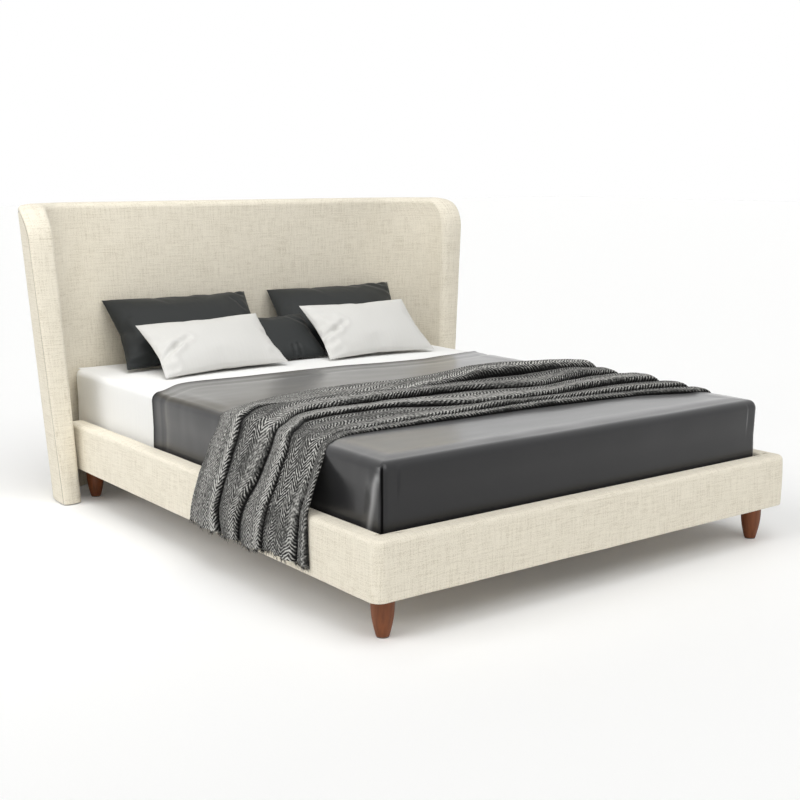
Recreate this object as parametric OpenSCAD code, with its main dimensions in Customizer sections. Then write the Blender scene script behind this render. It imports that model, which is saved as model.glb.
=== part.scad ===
// Upholstered wingback bed with its bedding. Millimetres, +Z up.
// +X is the bed's width and +Y points to the headboard.
// The origin is on the floor, below the middle of the bed.

/* [Mattress] */
// Width of the mattress
mattress_w = 1530; // [1370:10:1830]
// Length of the mattress
mattress_l = 2030; // [1900:10:2130]
// Thickness of the mattress
mattress_h = 237; // [181:2:301]
// Corner radius of the mattress at the foot
mattress_foot_r = 28; // [20:1:60]
// Corner radius of the mattress at the head, where the headboard curves in
mattress_head_r = 75; // [70:1:110]
// Roundness of the mattress's top and bottom edges
mattress_edge_r = 22; // [16:1:40]
// Rise of the mattress's crown in the middle
mattress_crown = 6; // [2:0.5:12]
// How far the mattress's side walls draw in at mid height
mattress_draw = 3; // [1:0.5:6]

/* [Rails] */
// Thickness of the upholstered rails
rail_t = 60; // [54:1:80]
// Height of the upholstered rails
rail_h = 168; // [150:2:220]
// Height of the rails' underside over the floor
rail_underside = 120; // [100:2:200]
// Gap between the mattress and the side rails
side_gap = 15; // [10:1:30]
// Gap between the mattress and the foot rail
foot_gap = 15; // [10:1:30]
// Gap between the mattress and the headboard
head_gap = 15; // [12:1:30]
// How deep the mattress sits below the rails' top
mattress_sink = 54; // [40:1:70]
// Roundness of the rails' outer top edge
rail_edge_r = 16; // [8:1:24]
// Roundness of the foot rail's ends, seen from above
rail_corner_r = 35; // [26:1:50]
// Thickness of the boards inside the rails
board_t = 28; // [20:1:34]
// Foam over the top of the boards
top_pad = 14; // [8:1:20]

/* [Headboard] */
// Height of the headboard
headboard_h = 1092; // [948:4:1300]
// Depth of the headboard with its wings
wing_depth = 355; // [340:1:420]
// Thickness of the headboard's middle
panel_t = 80; // [76:1:110]
// Thickness of a wing's front at the floor
wing_base_t = 73; // [66:1:95]
// Thickness of a wing's front at the top
wing_top_t = 101; // [80:1:130]
// How far the wings lean out from floor to top
wing_spread = 52; // [0:1:90]
// How far the wings' front edges lean back from floor to top
wing_set_back = 31; // [0:1:60]
// Gap between the wings and the side rails
wing_gap = 4; // [3:0.5:10]
// Radius of the concave corner between headboard and wing
inner_r = 210; // [200:1:230]
// Radius of the convex corner behind it
outer_r = 300; // [290:1:315]
// Radius of a wing's top front corner, seen from the side
wing_corner_r = 130; // [80:1:160]
// Roundness of a wing's inner front edge
nose_r = 30; // [16:1:36]
// Roundness of the headboard's top edge
crest_r = 22; // [10:1:30]
// Thickness of the foam pad on the front
pad_t = 34; // [26:1:38]
// Thickness of the covered outer skin
skin_t = 8; // [5:0.5:10]

/* [Base] */
// Number of slats in each row
slat_count = 14; // [10:1:18]
// Width of a slat
slat_w = 60; // [45:1:68]
// Thickness of a slat
slat_t = 8; // [6:0.5:12]
// Rise of a slat's bow
slat_rise = 9; // [4:0.5:14]
// Width of the centre beam
beam_w = 50; // [44:1:70]
// Height of the centre beam
beam_h = 40; // [30:1:60]
// Diameter of a centre leg
centre_leg_d = 36; // [30:1:46]
// Travel of a levelling foot
foot_travel = 12; // [6:1:18]

/* [Legs] */
// Diameter of a leg at its top
leg_top_d = 65; // [55:1:75]
// Diameter of a leg at the floor
leg_foot_d = 38; // [32:1:50]
// Distance of a leg's centre from the rails' outer faces
leg_inset = 76; // [70:1:90]

/* [Throw] */
// Width of the throw as it lies on the bed
throw_w = 750; // [550:10:900]
// Place of the throw along the bed
throw_y = -400; // [-500:10:-300]
// Height of the throw's left end over the floor
throw_left_z = 134; // [130:2:240]
// Height of the throw's right end over the floor
throw_right_z = 214; // [200:2:260]
// Height of the throw's folds
fold_h = 22; // [6:1:30]
// Thickness of the throw
throw_t = 7; // [5:0.5:10]

/* [Cushions] */
// Width of the dark pillows
pillow_w = 635; // [560:5:680]
// Height of the dark pillows
pillow_h = 375; // [340:5:430]
// Thickness of the dark pillows
pillow_t = 140; // [90:2:160]
// Width of the pale cushions
cushion_w = 520; // [460:5:560]
// Height of the pale cushions
cushion_h = 300; // [260:5:330]
// Thickness of the pale cushions
cushion_t = 104; // [80:2:120]

/* [Hidden] */

// Clearances
touch = 0.3;
play = 1;
cut = 1;
round_fn = 48;

// Colours
linen = [0.86, 0.83, 0.77];
lining = [0.80, 0.77, 0.71];
walnut = [0.48, 0.30, 0.20];
pine = [0.82, 0.70, 0.52];
birch = [0.87, 0.78, 0.62];
steel = [0.30, 0.31, 0.33];
zinc = [0.68, 0.69, 0.71];
black_plastic = [0.12, 0.12, 0.13];
felt = [0.45, 0.42, 0.38];
white_cotton = [0.92, 0.92, 0.91];
grey_cotton = [0.30, 0.30, 0.31];
grey_wool = [0.42, 0.42, 0.41];

// Main places
frame_w = mattress_w + 2 * side_gap + 2 * rail_t;
bed_l = rail_t + foot_gap + mattress_l + head_gap + panel_t;
foot_y = -bed_l / 2;
back_y = bed_l / 2;
panel_y = back_y - panel_t;
wing_y = back_y - wing_depth;
mattress_foot_y = foot_y + rail_t + foot_gap;
mattress_head_y = mattress_foot_y + mattress_l;
rail_in_x = frame_w / 2 - rail_t;
rail_out_x = frame_w / 2;
rail_top = rail_underside + rail_h;
platform_z = rail_top - mattress_sink;
mattress_z = platform_z + touch;
mattress_top = mattress_z + mattress_h;

// Lofts: a ring is a right-hand path followed by the left-hand path backwards
function ring(right, left) = concat(right, [for (k = [len(left) - 1:-1:0]) left[k]]);

module loft(rings) {
    n = len(rings[0]);
    m = len(rings);
    half = n / 2;
    top = (m - 1) * n;
    sides = [
        for (j = [0:m - 2], i = [0:n - 1])
            let (a = j * n + i, b = j * n + (i + 1) % n)
                each [[a, a + n, b + n], [a, b + n, b]]
    ];
    bottom_cap = [for (k = [0:half - 2]) each [[k, k + 1, n - 2 - k], [k, n - 2 - k, n - 1 - k]]];
    top_cap = [
        for (k = [0:half - 2])
            each [[top + k, top + n - 2 - k, top + k + 1], [top + k, top + n - 1 - k, top + n - 2 - k]]
    ];
    polyhedron([for (r = rings) each r], concat(sides, bottom_cap, top_cap));
}

function mirrored(points) = [for (p = points) [-p[0], p[1], p[2]]];
function backwards(list) = [for (k = [len(list) - 1:-1:0]) list[k]];

module both_sides() {
    children();
    mirror([1, 0, 0]) children();
}

// Headboard: its walls in plan, which lean with the height
spread_out = wing_spread + wing_top_t - wing_base_t;
base_in_x = rail_out_x + wing_gap;
base_out_x = base_in_x + wing_base_t;
glide_h = 4;
nose_t = 14;
stile_t = 18;
core_front = 40;
outer = 0;
inner = 1;

function wall_half(face, z) =
    face[0] == outer ? base_out_x - face[1] + spread_out * z / headboard_h
    : base_in_x + face[1] + wing_spread * z / headboard_h;
function wall_back(face) = face[0] == outer ? back_y - face[1] : panel_y + face[1];
function wall_r(face) = face[0] == outer ? outer_r - face[1] : inner_r + face[1];
function wall_end(face) = wall_back(face) - wall_r(face) - wing_y + wall_r(face) * PI / 2;

// A point at distance s along a wall from the wings' front plane at the floor
function wall_point(face, z, s) =
    let (half = wall_half(face, z), r = wall_r(face), straight = wall_back(face) - r - wing_y)
        s <= straight ? [half, wing_y + s, z]
        : let (a = (s - straight) / r * 180 / PI)
            [half - r + r * cos(a), wall_back(face) - r + r * sin(a), z];

function corner_cut(z, inset) =
    let (r = wing_corner_r - inset, start = headboard_h - wing_corner_r)
        z <= start ? 0 : r - sqrt(max(0, r * r - pow(z - start, 2)));
function front_y(z, behind, inset) =
    wing_y + wing_set_back * z / headboard_h + behind + corner_cut(z, inset);

// Distance along a wall at which it reaches y
function wall_start(face, y) =
    let (r = wall_r(face), arc_y = wall_back(face) - r)
        y <= arc_y ? y - wing_y : arc_y - wing_y + r * asin((y - arc_y) / r) * PI / 180;

nose_steps = [0, 0.08, 0.3, 0.62, 1];
wall_steps = 12;

function wall_stations(face, z, behind, inset, end_share) =
    let (
        start = wall_start(face, front_y(z, behind, inset)),
        nose_end = start + nose_r,
        end = wall_end(face)
    )
        concat(
            [for (t = nose_steps) start + t * nose_r],
            [for (k = [1:wall_steps]) nose_end + (end_share * end - nose_end) * k / wall_steps]
        );

function bevel(r, d) = d >= r ? 0 : r - sqrt(r * r - pow(r - d, 2));

function wall_path(face, z, behind, inset, nose, rise, end_share = 1) =
    let (s = wall_stations(face, z, behind, inset, end_share))
        [for (t = s) wall_point([face[0], face[1] + rise + (nose ? bevel(nose_r, t - s[0]) : 0)], z, t)];

function crest(z) = bevel(crest_r, headboard_h - z);

corner_angles = [0, 18, 36, 50, 60, 68, 74, 79];
function corner_levels(inset) = [
    for (a = corner_angles) headboard_h - wing_corner_r + (wing_corner_r - inset) * sin(a)
];
crest_shares = [0.03, 0];
crest_levels = [for (t = crest_shares) headboard_h - t * crest_r];

// The whole headboard, rounded at its crest and at the wings' inner front edges
module headboard_form() {
    levels = concat([glide_h], corner_levels(0), crest_levels);
    loft([
        for (z = levels)
            let (
                out = wall_path([outer, 0], z, 0, 0, false, crest(z)),
                in = wall_path([inner, 0], z, 0, 0, true, crest(z))
            )
                ring(concat(out, backwards(mirrored(out))), concat(in, backwards(mirrored(in))))
    ]);
}

// A layer between two faces of the headboard, round the whole U
module headboard_layer(face_out, face_in, behind, inset, z_low) {
    levels = concat([z_low], corner_levels(inset), [headboard_h - inset]);
    loft([
        for (z = levels)
            let (
                out = wall_path(face_out, z, behind, inset, false, 0),
                in = wall_path(face_in, z, behind, inset, false, 0)
            )
                ring(concat(out, backwards(mirrored(out))), concat(in, backwards(mirrored(in))))
    ]);
}

core_top = headboard_h - pad_t;
bracket_share = 0.3;
bracket_x = frame_w * bracket_share;
bracket_plate_w = 70;
bracket_plate_h = 80;
bracket_t = 5;
bracket_z = 132;

// The foam pad: front, wings, noses and crest, in one cover
module headboard_pad() {
    slot_w = bracket_plate_w + 4 * play;
    color(linen) difference() {
        headboard_form();
        headboard_layer([outer, -skin_t], [inner, pad_t], core_front - play, pad_t, glide_h - cut);
        headboard_layer([outer, -skin_t], [outer, skin_t + touch], nose_t - touch, -cut, glide_h - cut);
        for (side = [-1, 1])
            translate([side * bracket_x - slot_w / 2, panel_y - pad_t, bracket_z - 2 * play])
                cube([slot_w, 3 * pad_t, bracket_plate_h + 4 * play]);
    }
}

// Covered outer skin of a wing, from the front seam round to the flat back. It thins out
// where the crest rounds over, and ends there.
border_top = headboard_h - bevel(crest_r, skin_t - play);

module wing_border() {
    levels = concat([glide_h], [for (z = corner_levels(0)) if (z < border_top - play) z], [border_top]);
    color(linen) loft([
        for (z = levels)
            ring(
                wall_path([outer, 0], z, nose_t, 0, false, crest(z)),
                wall_path([outer, skin_t], z, nose_t, 0, false, 0)
            )
    ]);
}

module wing_border_right() {
    wing_border();
}

module wing_border_left() {
    mirror([1, 0, 0]) wing_border();
}

// Flat dust cover over the back
module headboard_back() {
    low_x = base_out_x - outer_r - touch;
    high_x = low_x + spread_out;
    color(lining) loft([
        for (z = [glide_h, headboard_h - crest_r])
            let (x = low_x + (high_x - low_x) * z / headboard_h)
                ring(
                    [[x, back_y - skin_t, z], [x, back_y, z]],
                    [[-x, back_y - skin_t, z], [-x, back_y, z]]
                )
    ]);
}

// Timber frame inside the headboard
core_y = panel_y + pad_t + touch;
core_back_y = back_y - skin_t - touch;
core_t = core_back_y - core_y;
post_w = 90;
post_x = bracket_x;
frame_rail_h = 90;
rib_t = 18;
rib_count = 5;
rib_first_z = 30;

module headboard_posts() {
    color(pine) both_sides()
        translate([post_x - post_w / 2, core_y, glide_h])
            cube([post_w, core_t, core_top - touch - glide_h]);
}

module headboard_rails() {
    span = 2 * post_x - post_w;
    step = (core_top - touch - frame_rail_h - bracket_z) / 2;
    color(pine) for (k = [0:2])
        translate([-span / 2, core_y, bracket_z + k * step]) cube([span, core_t, frame_rail_h]);
}

// Plan of the space between pad and skin, for a rib that spans z0 to z1
module core_plan(z0, z1) {
    out_face = [outer, skin_t + 2 * play];
    in_face = [inner, pad_t + touch];
    out_x = wall_half(out_face, z0);
    in_x = wall_half(in_face, z1);
    out_r = wall_r(out_face);
    in_r = wall_r(in_face);
    front = front_y(z1, core_front + stile_t, pad_t) + play;
    post_out = post_x + post_w / 2;
    rib_back_y = core_back_y - play;
    intersection() {
        difference() {
            union() {
                square([out_x - out_r, rib_back_y]);
                square([out_x, rib_back_y - out_r]);
                translate([out_x - out_r, rib_back_y - out_r]) circle(out_r, $fn = 180);
            }
            square([in_x - in_r, core_y]);
            square([in_x, core_y - in_r]);
            translate([in_x - in_r, core_y - in_r]) circle(in_r, $fn = 180);
        }
        translate([post_out, front]) square([out_x, out_x]);
    }
}

module wing_ribs() {
    top = headboard_h - wing_corner_r - rib_t;
    step = (top - rib_first_z) / (rib_count - 1);
    color(birch) for (k = [0:rib_count - 1]) {
        z = rib_first_z + k * step;
        translate([0, 0, z]) linear_extrude(rib_t) core_plan(z, z + rib_t);
    }
}

module wing_ribs_right() {
    wing_ribs();
}

module wing_ribs_left() {
    mirror([1, 0, 0]) wing_ribs();
}

// Upright board inside a wing's front edge, which leans with the wing
module wing_stile() {
    levels = [glide_h + play, headboard_h - wing_corner_r];
    color(pine) loft([
        for (z = levels)
            let (
                y = front_y(z, core_front, pad_t),
                out_face = [outer, skin_t + play],
                in = wall_half([inner, pad_t + touch], z)
            )
                ring(
                    [for (d = [0, stile_t]) wall_point(out_face, z, wall_start(out_face, y + d))],
                    [[in, y, z], [in, y + stile_t, z]]
                )
    ]);
}

module wing_stile_right() {
    wing_stile();
}

module wing_stile_left() {
    mirror([1, 0, 0]) wing_stile();
}

// Nylon glides under the wings and posts
glide_d = 24;

module headboard_glides() {
    wing_glide_x = base_in_x + wing_base_t / 2;
    wing_glide_y = wing_y + glide_d;
    color(black_plastic) both_sides() {
        translate([wing_glide_x, wing_glide_y, 0]) cylinder(h = glide_h, d = glide_d, $fn = round_fn);
        translate([post_x, core_y + core_t / 2, 0]) cylinder(h = glide_h, d = glide_d, $fn = round_fn);
    }
}

// Rails: the section is drawn with x from the inner face outwards and y upwards
cap_floor = 2;
lining_t = 3;
lining_h = mattress_sink + slat_rise - cap_floor - 3 * play;
wrap_t = 4;
board_low = rail_underside + wrap_t;
board_high = rail_top - top_pad;
board_in = lining_t;
cover_reach = 116;
board_reach = 54;
cover_end_y = wing_y + cover_reach;
board_end_y = cover_end_y + board_reach;

module rail_outline() {
    lip_r = lining_t * 2;
    union() {
        translate([lip_r, 0]) square([rail_t - lip_r - rail_edge_r, rail_h]);
        square([rail_t - wrap_t, rail_h - lip_r]);
        translate([0, wrap_t]) square([rail_t, rail_h - wrap_t - rail_edge_r]);
        translate([lip_r, rail_h - lip_r]) circle(lip_r, $fn = round_fn);
        translate([rail_t - rail_edge_r, rail_h - rail_edge_r]) circle(rail_edge_r, $fn = round_fn);
        translate([rail_t - wrap_t, wrap_t]) circle(wrap_t, $fn = round_fn);
    }
}

module rail_cover_section() {
    pocket_h = rail_h - wrap_t - top_pad;
    difference() {
        rail_outline();
        translate([board_in - touch, wrap_t]) square([board_t + 2 * touch, pocket_h]);
        translate([-cut, -cut]) square([board_in - touch + 2 * cut, rail_h - lining_h + cut]);
    }
}

module side_rail_cover() {
    start_y = foot_y + rail_t + touch;
    color(linen)
        translate([rail_in_x, cover_end_y, rail_underside])
            rotate([90, 0, 0]) linear_extrude(cover_end_y - start_y) rail_cover_section();
}

module side_rail_cover_right() {
    side_rail_cover();
}

module side_rail_cover_left() {
    mirror([1, 0, 0]) side_rail_cover();
}

module side_rail_board() {
    start_y = foot_y + rail_t + touch;
    color(pine)
        translate([rail_in_x + board_in, start_y, board_low])
            cube([board_t, board_end_y - start_y, board_high - board_low - touch]);
}

module side_rail_board_right() {
    side_rail_board();
}

module side_rail_board_left() {
    mirror([1, 0, 0]) side_rail_board();
}

// One end of the foot rail: a quarter turn of the section's outer part over a plain heel
module foot_rail_end() {
    axis_x = rail_out_x - rail_corner_r;
    axis_y = foot_y + rail_corner_r;
    heel_l = rail_t - rail_corner_r;
    translate([axis_x, axis_y, rail_underside])
        rotate([0, 0, -90]) rotate_extrude(angle = 90, $fn = 96) intersection() {
            translate([rail_corner_r - rail_t, 0]) rail_outline();
            square([rail_corner_r, rail_h]);
        }
    translate([axis_x, axis_y + heel_l, rail_underside])
        rotate([90, 0, 0]) linear_extrude(heel_l) intersection() {
            translate([rail_corner_r - rail_t, 0]) rail_outline();
            square([rail_corner_r, rail_h]);
        }
}

module foot_rail_cover() {
    middle_l = frame_w - 2 * rail_corner_r;
    color(linen) difference() {
        union() {
            translate([-middle_l / 2, foot_y + rail_t, rail_underside])
                rotate([90, 0, 90]) mirror([1, 0, 0]) linear_extrude(middle_l) rail_outline();
            both_sides() foot_rail_end();
        }
        translate([-foot_board_l / 2 - touch, foot_board_y - touch, board_low])
            cube([foot_board_l + 2 * touch, board_t + 2 * touch, board_high - board_low]);
        translate([-foot_board_l / 2 - touch, foot_board_y + board_t - cut, rail_underside - cut])
            cube([foot_board_l + 2 * touch, board_in + 2 * cut, rail_h - lining_h + cut]);
    }
}

foot_board_y = foot_y + rail_t - board_in - board_t;
foot_board_l = 2 * (rail_in_x + board_in);

module foot_rail_board() {
    color(pine)
        translate([-foot_board_l / 2, foot_board_y, board_low])
            cube([foot_board_l, board_t, board_high - board_low - touch]);
}

// Head crossbar between the side boards
crossbar_y = board_end_y - board_t;
inside_w = 2 * (rail_in_x + board_in);

module head_crossbar() {
    color(pine)
        translate([-inside_w / 2, crossbar_y, board_low])
            cube([inside_w, board_t, ledge_top - board_low]);
}

// Slat base: the bowed slats end in caps on the ledges and on the beam
cap_wall = 2.5;
cap_l = 42;
slat_end_gap = 3;
ledge_w = 30;
ledge_h = 26;
ledge_top = platform_z - cap_floor - touch - slat_t - slat_rise;
corner_block_l = 80;
corner_block_h = 44;
foot_inner_y = foot_y + rail_t - board_in;
slat_span_y0 = foot_inner_y + corner_block_l;
slat_span_y1 = crossbar_y - slat_w;
slat_x0 = slat_end_gap + cap_wall;
slat_x1 = inside_w / 2 - slat_end_gap - cap_wall;
slat_l = slat_x1 - slat_x0;
bow_r = (pow(slat_l / 2, 2) + pow(slat_rise, 2)) / (2 * slat_rise);
slat_low = ledge_top + cap_floor + touch;

function slat_y(k) = slat_span_y0 + (slat_span_y1 - slat_span_y0) * k / (slat_count - 1);

module slat_side_view() {
    intersection() {
        difference() {
            translate([slat_l / 2, slat_rise + slat_t - bow_r]) circle(bow_r, $fn = 1440);
            translate([slat_l / 2, slat_rise - bow_r]) circle(bow_r, $fn = 1440);
        }
        translate([0, -slat_t]) square([slat_l, 2 * (slat_t + slat_rise)]);
    }
}

module slats() {
    color(birch) for (k = [0:slat_count - 1])
        translate([slat_x0, slat_y(k) + slat_w, slat_low])
            rotate([90, 0, 0]) linear_extrude(slat_w) slat_side_view();
}

module slats_right() {
    slats();
}

module slats_left() {
    mirror([1, 0, 0]) slats();
}

// A cap is a shallow pocket that is open towards the slat's middle and on top at its mouth
module slat_cap() {
    pocket_w = slat_w + 2 * play;
    cap_w = pocket_w + 2 * cap_wall;
    pocket_h = slat_t + 2 * play;
    difference() {
        translate([0, -cap_wall - play, 0]) cube([cap_l, cap_w, cap_floor + pocket_h + cap_floor]);
        translate([cap_wall, -play, cap_floor]) cube([cap_l, pocket_w, pocket_h]);
        translate([cap_l / 2, -play, cap_floor]) cube([cap_l, pocket_w, pocket_h + cap_floor + cut]);
    }
}

module slat_caps() {
    color(black_plastic) for (k = [0:slat_count - 1]) {
        translate([slat_end_gap - touch, slat_y(k), ledge_top]) slat_cap();
        translate([inside_w / 2 - slat_end_gap + touch, slat_y(k), ledge_top])
            mirror([1, 0, 0]) slat_cap();
    }
}

module slat_caps_right() {
    slat_caps();
}

module slat_caps_left() {
    mirror([1, 0, 0]) slat_caps();
}

module slat_ledge() {
    start_y = foot_inner_y + corner_block_l - cap_wall;
    color(pine)
        translate([inside_w / 2 - ledge_w, start_y, ledge_top - ledge_h])
            cube([ledge_w, crossbar_y - start_y, ledge_h]);
}

module slat_ledge_right() {
    slat_ledge();
}

module slat_ledge_left() {
    mirror([1, 0, 0]) slat_ledge();
}

// Centre beam: a steel tube in two hangers
beam_wall = 2.5;
hanger_t = 3;
hanger_l = 50;
beam_y0 = foot_inner_y + hanger_t;
beam_y1 = crossbar_y - hanger_t;

module centre_beam() {
    color(steel) difference() {
        translate([-beam_w / 2, beam_y0 + touch, ledge_top - beam_h])
            cube([beam_w, beam_y1 - beam_y0 - 2 * touch, beam_h]);
        translate([-beam_w / 2 + beam_wall, beam_y0 - cut, ledge_top - beam_h + beam_wall])
            cube([beam_w - 2 * beam_wall, beam_y1 - beam_y0 + 2 * cut, beam_h - 2 * beam_wall]);
    }
}

module beam_hanger() {
    w = beam_w + 2 * hanger_t + 2 * touch;
    h = beam_h + hanger_t;
    difference() {
        translate([-w / 2, 0, ledge_top - h]) cube([w, hanger_l, h]);
        translate([-w / 2 + hanger_t, hanger_t, ledge_top - h + hanger_t - touch])
            cube([w - 2 * hanger_t, hanger_l, h]);
    }
}

module beam_hangers() {
    color(zinc) {
        translate([0, foot_inner_y, 0]) beam_hanger();
        translate([0, crossbar_y, 0]) mirror([0, 1, 0]) beam_hanger();
    }
}

// Centre legs: tubes with a bore for the levelling foot's stem
stem_d = 10;
stem_play = 0.1;
foot_disc_h = 8;
foot_disc_d = 46;
centre_leg_low = foot_disc_h + foot_travel + 3 * play;
beam_low = ledge_top - beam_h;
leg_plate_t = 3;
stem_top = beam_low - leg_plate_t - foot_travel - 4 * play;
leg_place_shares = [-0.3, 0, 0.27];

function centre_leg_y(k) = leg_place_shares[k] * bed_l;

module centre_leg(k) {
    plate_w = beam_w - 2 * play;
    color(steel) translate([0, centre_leg_y(k), 0]) difference() {
        union() {
            translate([0, 0, centre_leg_low])
                cylinder(h = beam_low - leg_plate_t - centre_leg_low, d = centre_leg_d, $fn = round_fn);
            translate([-plate_w / 2, -plate_w / 2, beam_low - leg_plate_t])
                cube([plate_w, plate_w, leg_plate_t]);
        }
        translate([0, 0, centre_leg_low - cut])
            cylinder(h = stem_top + foot_travel + 2 * play - centre_leg_low + cut,
                     d = stem_d + 2 * stem_play, $fn = round_fn);
    }
}

module centre_leg_foot() {
    centre_leg(0);
}

module centre_leg_middle() {
    centre_leg(1);
}

module centre_leg_head() {
    centre_leg(2);
}

module levelling_foot(k) {
    disc_edge = foot_disc_h / 4;
    color(black_plastic) translate([0, centre_leg_y(k), 0]) {
        cylinder(h = foot_disc_h - disc_edge, d = foot_disc_d, $fn = round_fn);
        translate([0, 0, foot_disc_h - disc_edge])
            cylinder(h = disc_edge, d1 = foot_disc_d, d2 = foot_disc_d - 2 * disc_edge, $fn = round_fn);
        translate([0, 0, foot_disc_h - disc_edge])
            cylinder(h = stem_top - foot_disc_h + disc_edge, d = stem_d, $fn = round_fn);
    }
}

module levelling_foot_foot() {
    levelling_foot(0);
}

module levelling_foot_middle() {
    levelling_foot(1);
}

module levelling_foot_head() {
    levelling_foot(2);
}

// Corner blocks carry the legs
leg_x = rail_out_x - leg_inset;
leg_foot_y = foot_y + leg_inset;
leg_setback = 98;
leg_head_y = board_end_y - leg_setback;
leg_bolt_d = 8;
bolt_play = 0.2;
felt_t = 3;
bolt_in_leg = 42;
bolt_in_block = 34;

module at_legs() {
    both_sides() {
        translate([leg_x, leg_foot_y, 0]) children();
        translate([leg_x, leg_head_y, 0]) children();
    }
}

module corner_blocks() {
    inner_x = inside_w / 2 - corner_block_l;
    color(pine) difference() {
        both_sides() {
            translate([inner_x, foot_inner_y, rail_underside])
                cube([corner_block_l, corner_block_l, corner_block_h]);
            translate([inner_x, leg_head_y - corner_block_l / 2, rail_underside])
                cube([corner_block_l, crossbar_y - leg_head_y + corner_block_l / 2, corner_block_h]);
        }
        at_legs() translate([0, 0, rail_underside - cut])
            cylinder(h = bolt_in_block + cut + play, d = leg_bolt_d + 2 * bolt_play, $fn = round_fn);
    }
}

module leg_bolts() {
    color(zinc) at_legs() translate([0, 0, rail_underside - bolt_in_leg])
        cylinder(h = bolt_in_leg + bolt_in_block, d = leg_bolt_d, $fn = round_fn);
}

// Turned leg with a barrel-shaped taper
leg_belly = 5;
leg_lip = 2;
leg_steps = 10;

function leg_r(t) = leg_foot_d / 2 + (leg_top_d - leg_foot_d) / 2 * t + leg_belly * sin(180 * t);

module leg() {
    h = rail_underside - felt_t;
    profile = concat(
        [[0, 0], [leg_foot_d / 2 - leg_lip, 0]],
        [for (k = [0:leg_steps]) let (t = k / leg_steps) [leg_r(t), leg_lip + (h - 2 * leg_lip) * t]],
        [[leg_top_d / 2 - leg_lip, h], [0, h]]
    );
    color(walnut) translate([0, 0, felt_t]) difference() {
        rotate_extrude($fn = 96) polygon(profile);
        translate([0, 0, h - bolt_in_leg - play])
            cylinder(h = bolt_in_leg + play + cut, d = leg_bolt_d + 2 * bolt_play, $fn = round_fn);
    }
}

module leg_foot_right() {
    translate([leg_x, leg_foot_y, 0]) leg();
}

module leg_foot_left() {
    translate([-leg_x, leg_foot_y, 0]) leg();
}

module leg_head_right() {
    translate([leg_x, leg_head_y, 0]) leg();
}

module leg_head_left() {
    translate([-leg_x, leg_head_y, 0]) leg();
}

module felt_pads() {
    color(felt) at_legs() cylinder(h = felt_t, d = leg_foot_d - 2 * leg_lip, $fn = round_fn);
}

// Steel angles join the side boards to the foot board and to the crossbar
angle_t = 4;
angle_l = 56;
angle_h = 34;
angle_z = rail_underside + corner_block_h + play;
bolt_head_d = 14;
bolt_head_h = 4;

module corner_angle() {
    cube([angle_l, angle_t, angle_h]);
    cube([angle_t, angle_l, angle_h]);
}

module corner_brackets() {
    color(zinc) both_sides() {
        translate([inside_w / 2, foot_inner_y, angle_z]) mirror([1, 0, 0]) corner_angle();
        translate([inside_w / 2 - ledge_w - touch, crossbar_y, ledge_top - angle_h])
            mirror([0, 1, 0]) mirror([1, 0, 0]) corner_angle();
    }
}

// Brackets between the crossbar and the headboard's posts
module headboard_bracket() {
    arm_y0 = board_end_y;
    arm_y1 = core_y;
    color(steel) translate([bracket_x, 0, bracket_z]) {
        translate([-bracket_plate_w / 2, arm_y0, 0]) cube([bracket_plate_w, bracket_t, bracket_arm_h]);
        translate([-bracket_t / 2, arm_y0 + bracket_t, 0])
            cube([bracket_t, arm_y1 - arm_y0 - 2 * bracket_t, bracket_arm_h]);
        translate([-bracket_plate_w / 2, arm_y1 - bracket_t, 0])
            cube([bracket_plate_w, bracket_t, bracket_plate_h]);
    }
}

bracket_arm_h = bracket_plate_h - 6 * play;

module headboard_bracket_right() {
    headboard_bracket();
}

module headboard_bracket_left() {
    mirror([1, 0, 0]) headboard_bracket();
}

module frame_bolts() {
    plate_x = bracket_plate_w / 4 + bracket_t / 2;
    color(zinc) both_sides() {
        for (sx = [-1, 1], sz = [0.25, 0.75])
            translate([bracket_x + sx * plate_x, board_end_y + bracket_t, bracket_z + sz * bracket_arm_h])
                rotate([-90, 0, 0]) cylinder(h = bolt_head_h, d = bolt_head_d, $fn = round_fn);
        for (s = [0.45, 0.8])
            translate([inside_w / 2 - s * angle_l, foot_inner_y + angle_t, angle_z + angle_h / 2])
                rotate([-90, 0, 0]) cylinder(h = bolt_head_h, d = bolt_head_d, $fn = round_fn);
    }
}

// Mattress and sheets: one rounded block, grown outwards for each layer
corner_steps = 4;
crown_shares = [[0, 0], [0.06, 0.55], [0.145, 0.9], [0.275, 1]];
fitted_t = 1.5;
flat_t = 2;
sheet_1 = touch;
sheet_2 = sheet_1 + fitted_t + touch;
sheet_top = sheet_2 + flat_t;

// Share of the crown's rise at a distance inwards from the mattress's edge
function crown_share(inset) = lookup(inset / mattress_w, crown_shares);

function block_ring(e, z) =
    let (
        x = mattress_w / 2 - e,
        y0 = mattress_foot_y + e,
        y1 = mattress_head_y - e,
        r0 = max(mattress_foot_r - e, mattress_edge_r / 4),
        r1 = max(mattress_head_r - e, mattress_edge_r / 4),
        foot = [
            for (k = [0:corner_steps])
                let (a = -90 + 90 * k / corner_steps) [x - r0 + r0 * cos(a), y0 + r0 + r0 * sin(a), z]
        ],
        head = [
            for (k = [0:corner_steps])
                let (a = 90 * k / corner_steps) [x - r1 + r1 * cos(a), y1 - r1 + r1 * sin(a), z]
        ],
        right = concat(foot, head)
    )
        ring(right, mirrored(right));

edge_angles = [0, 30, 60, 90];

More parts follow.
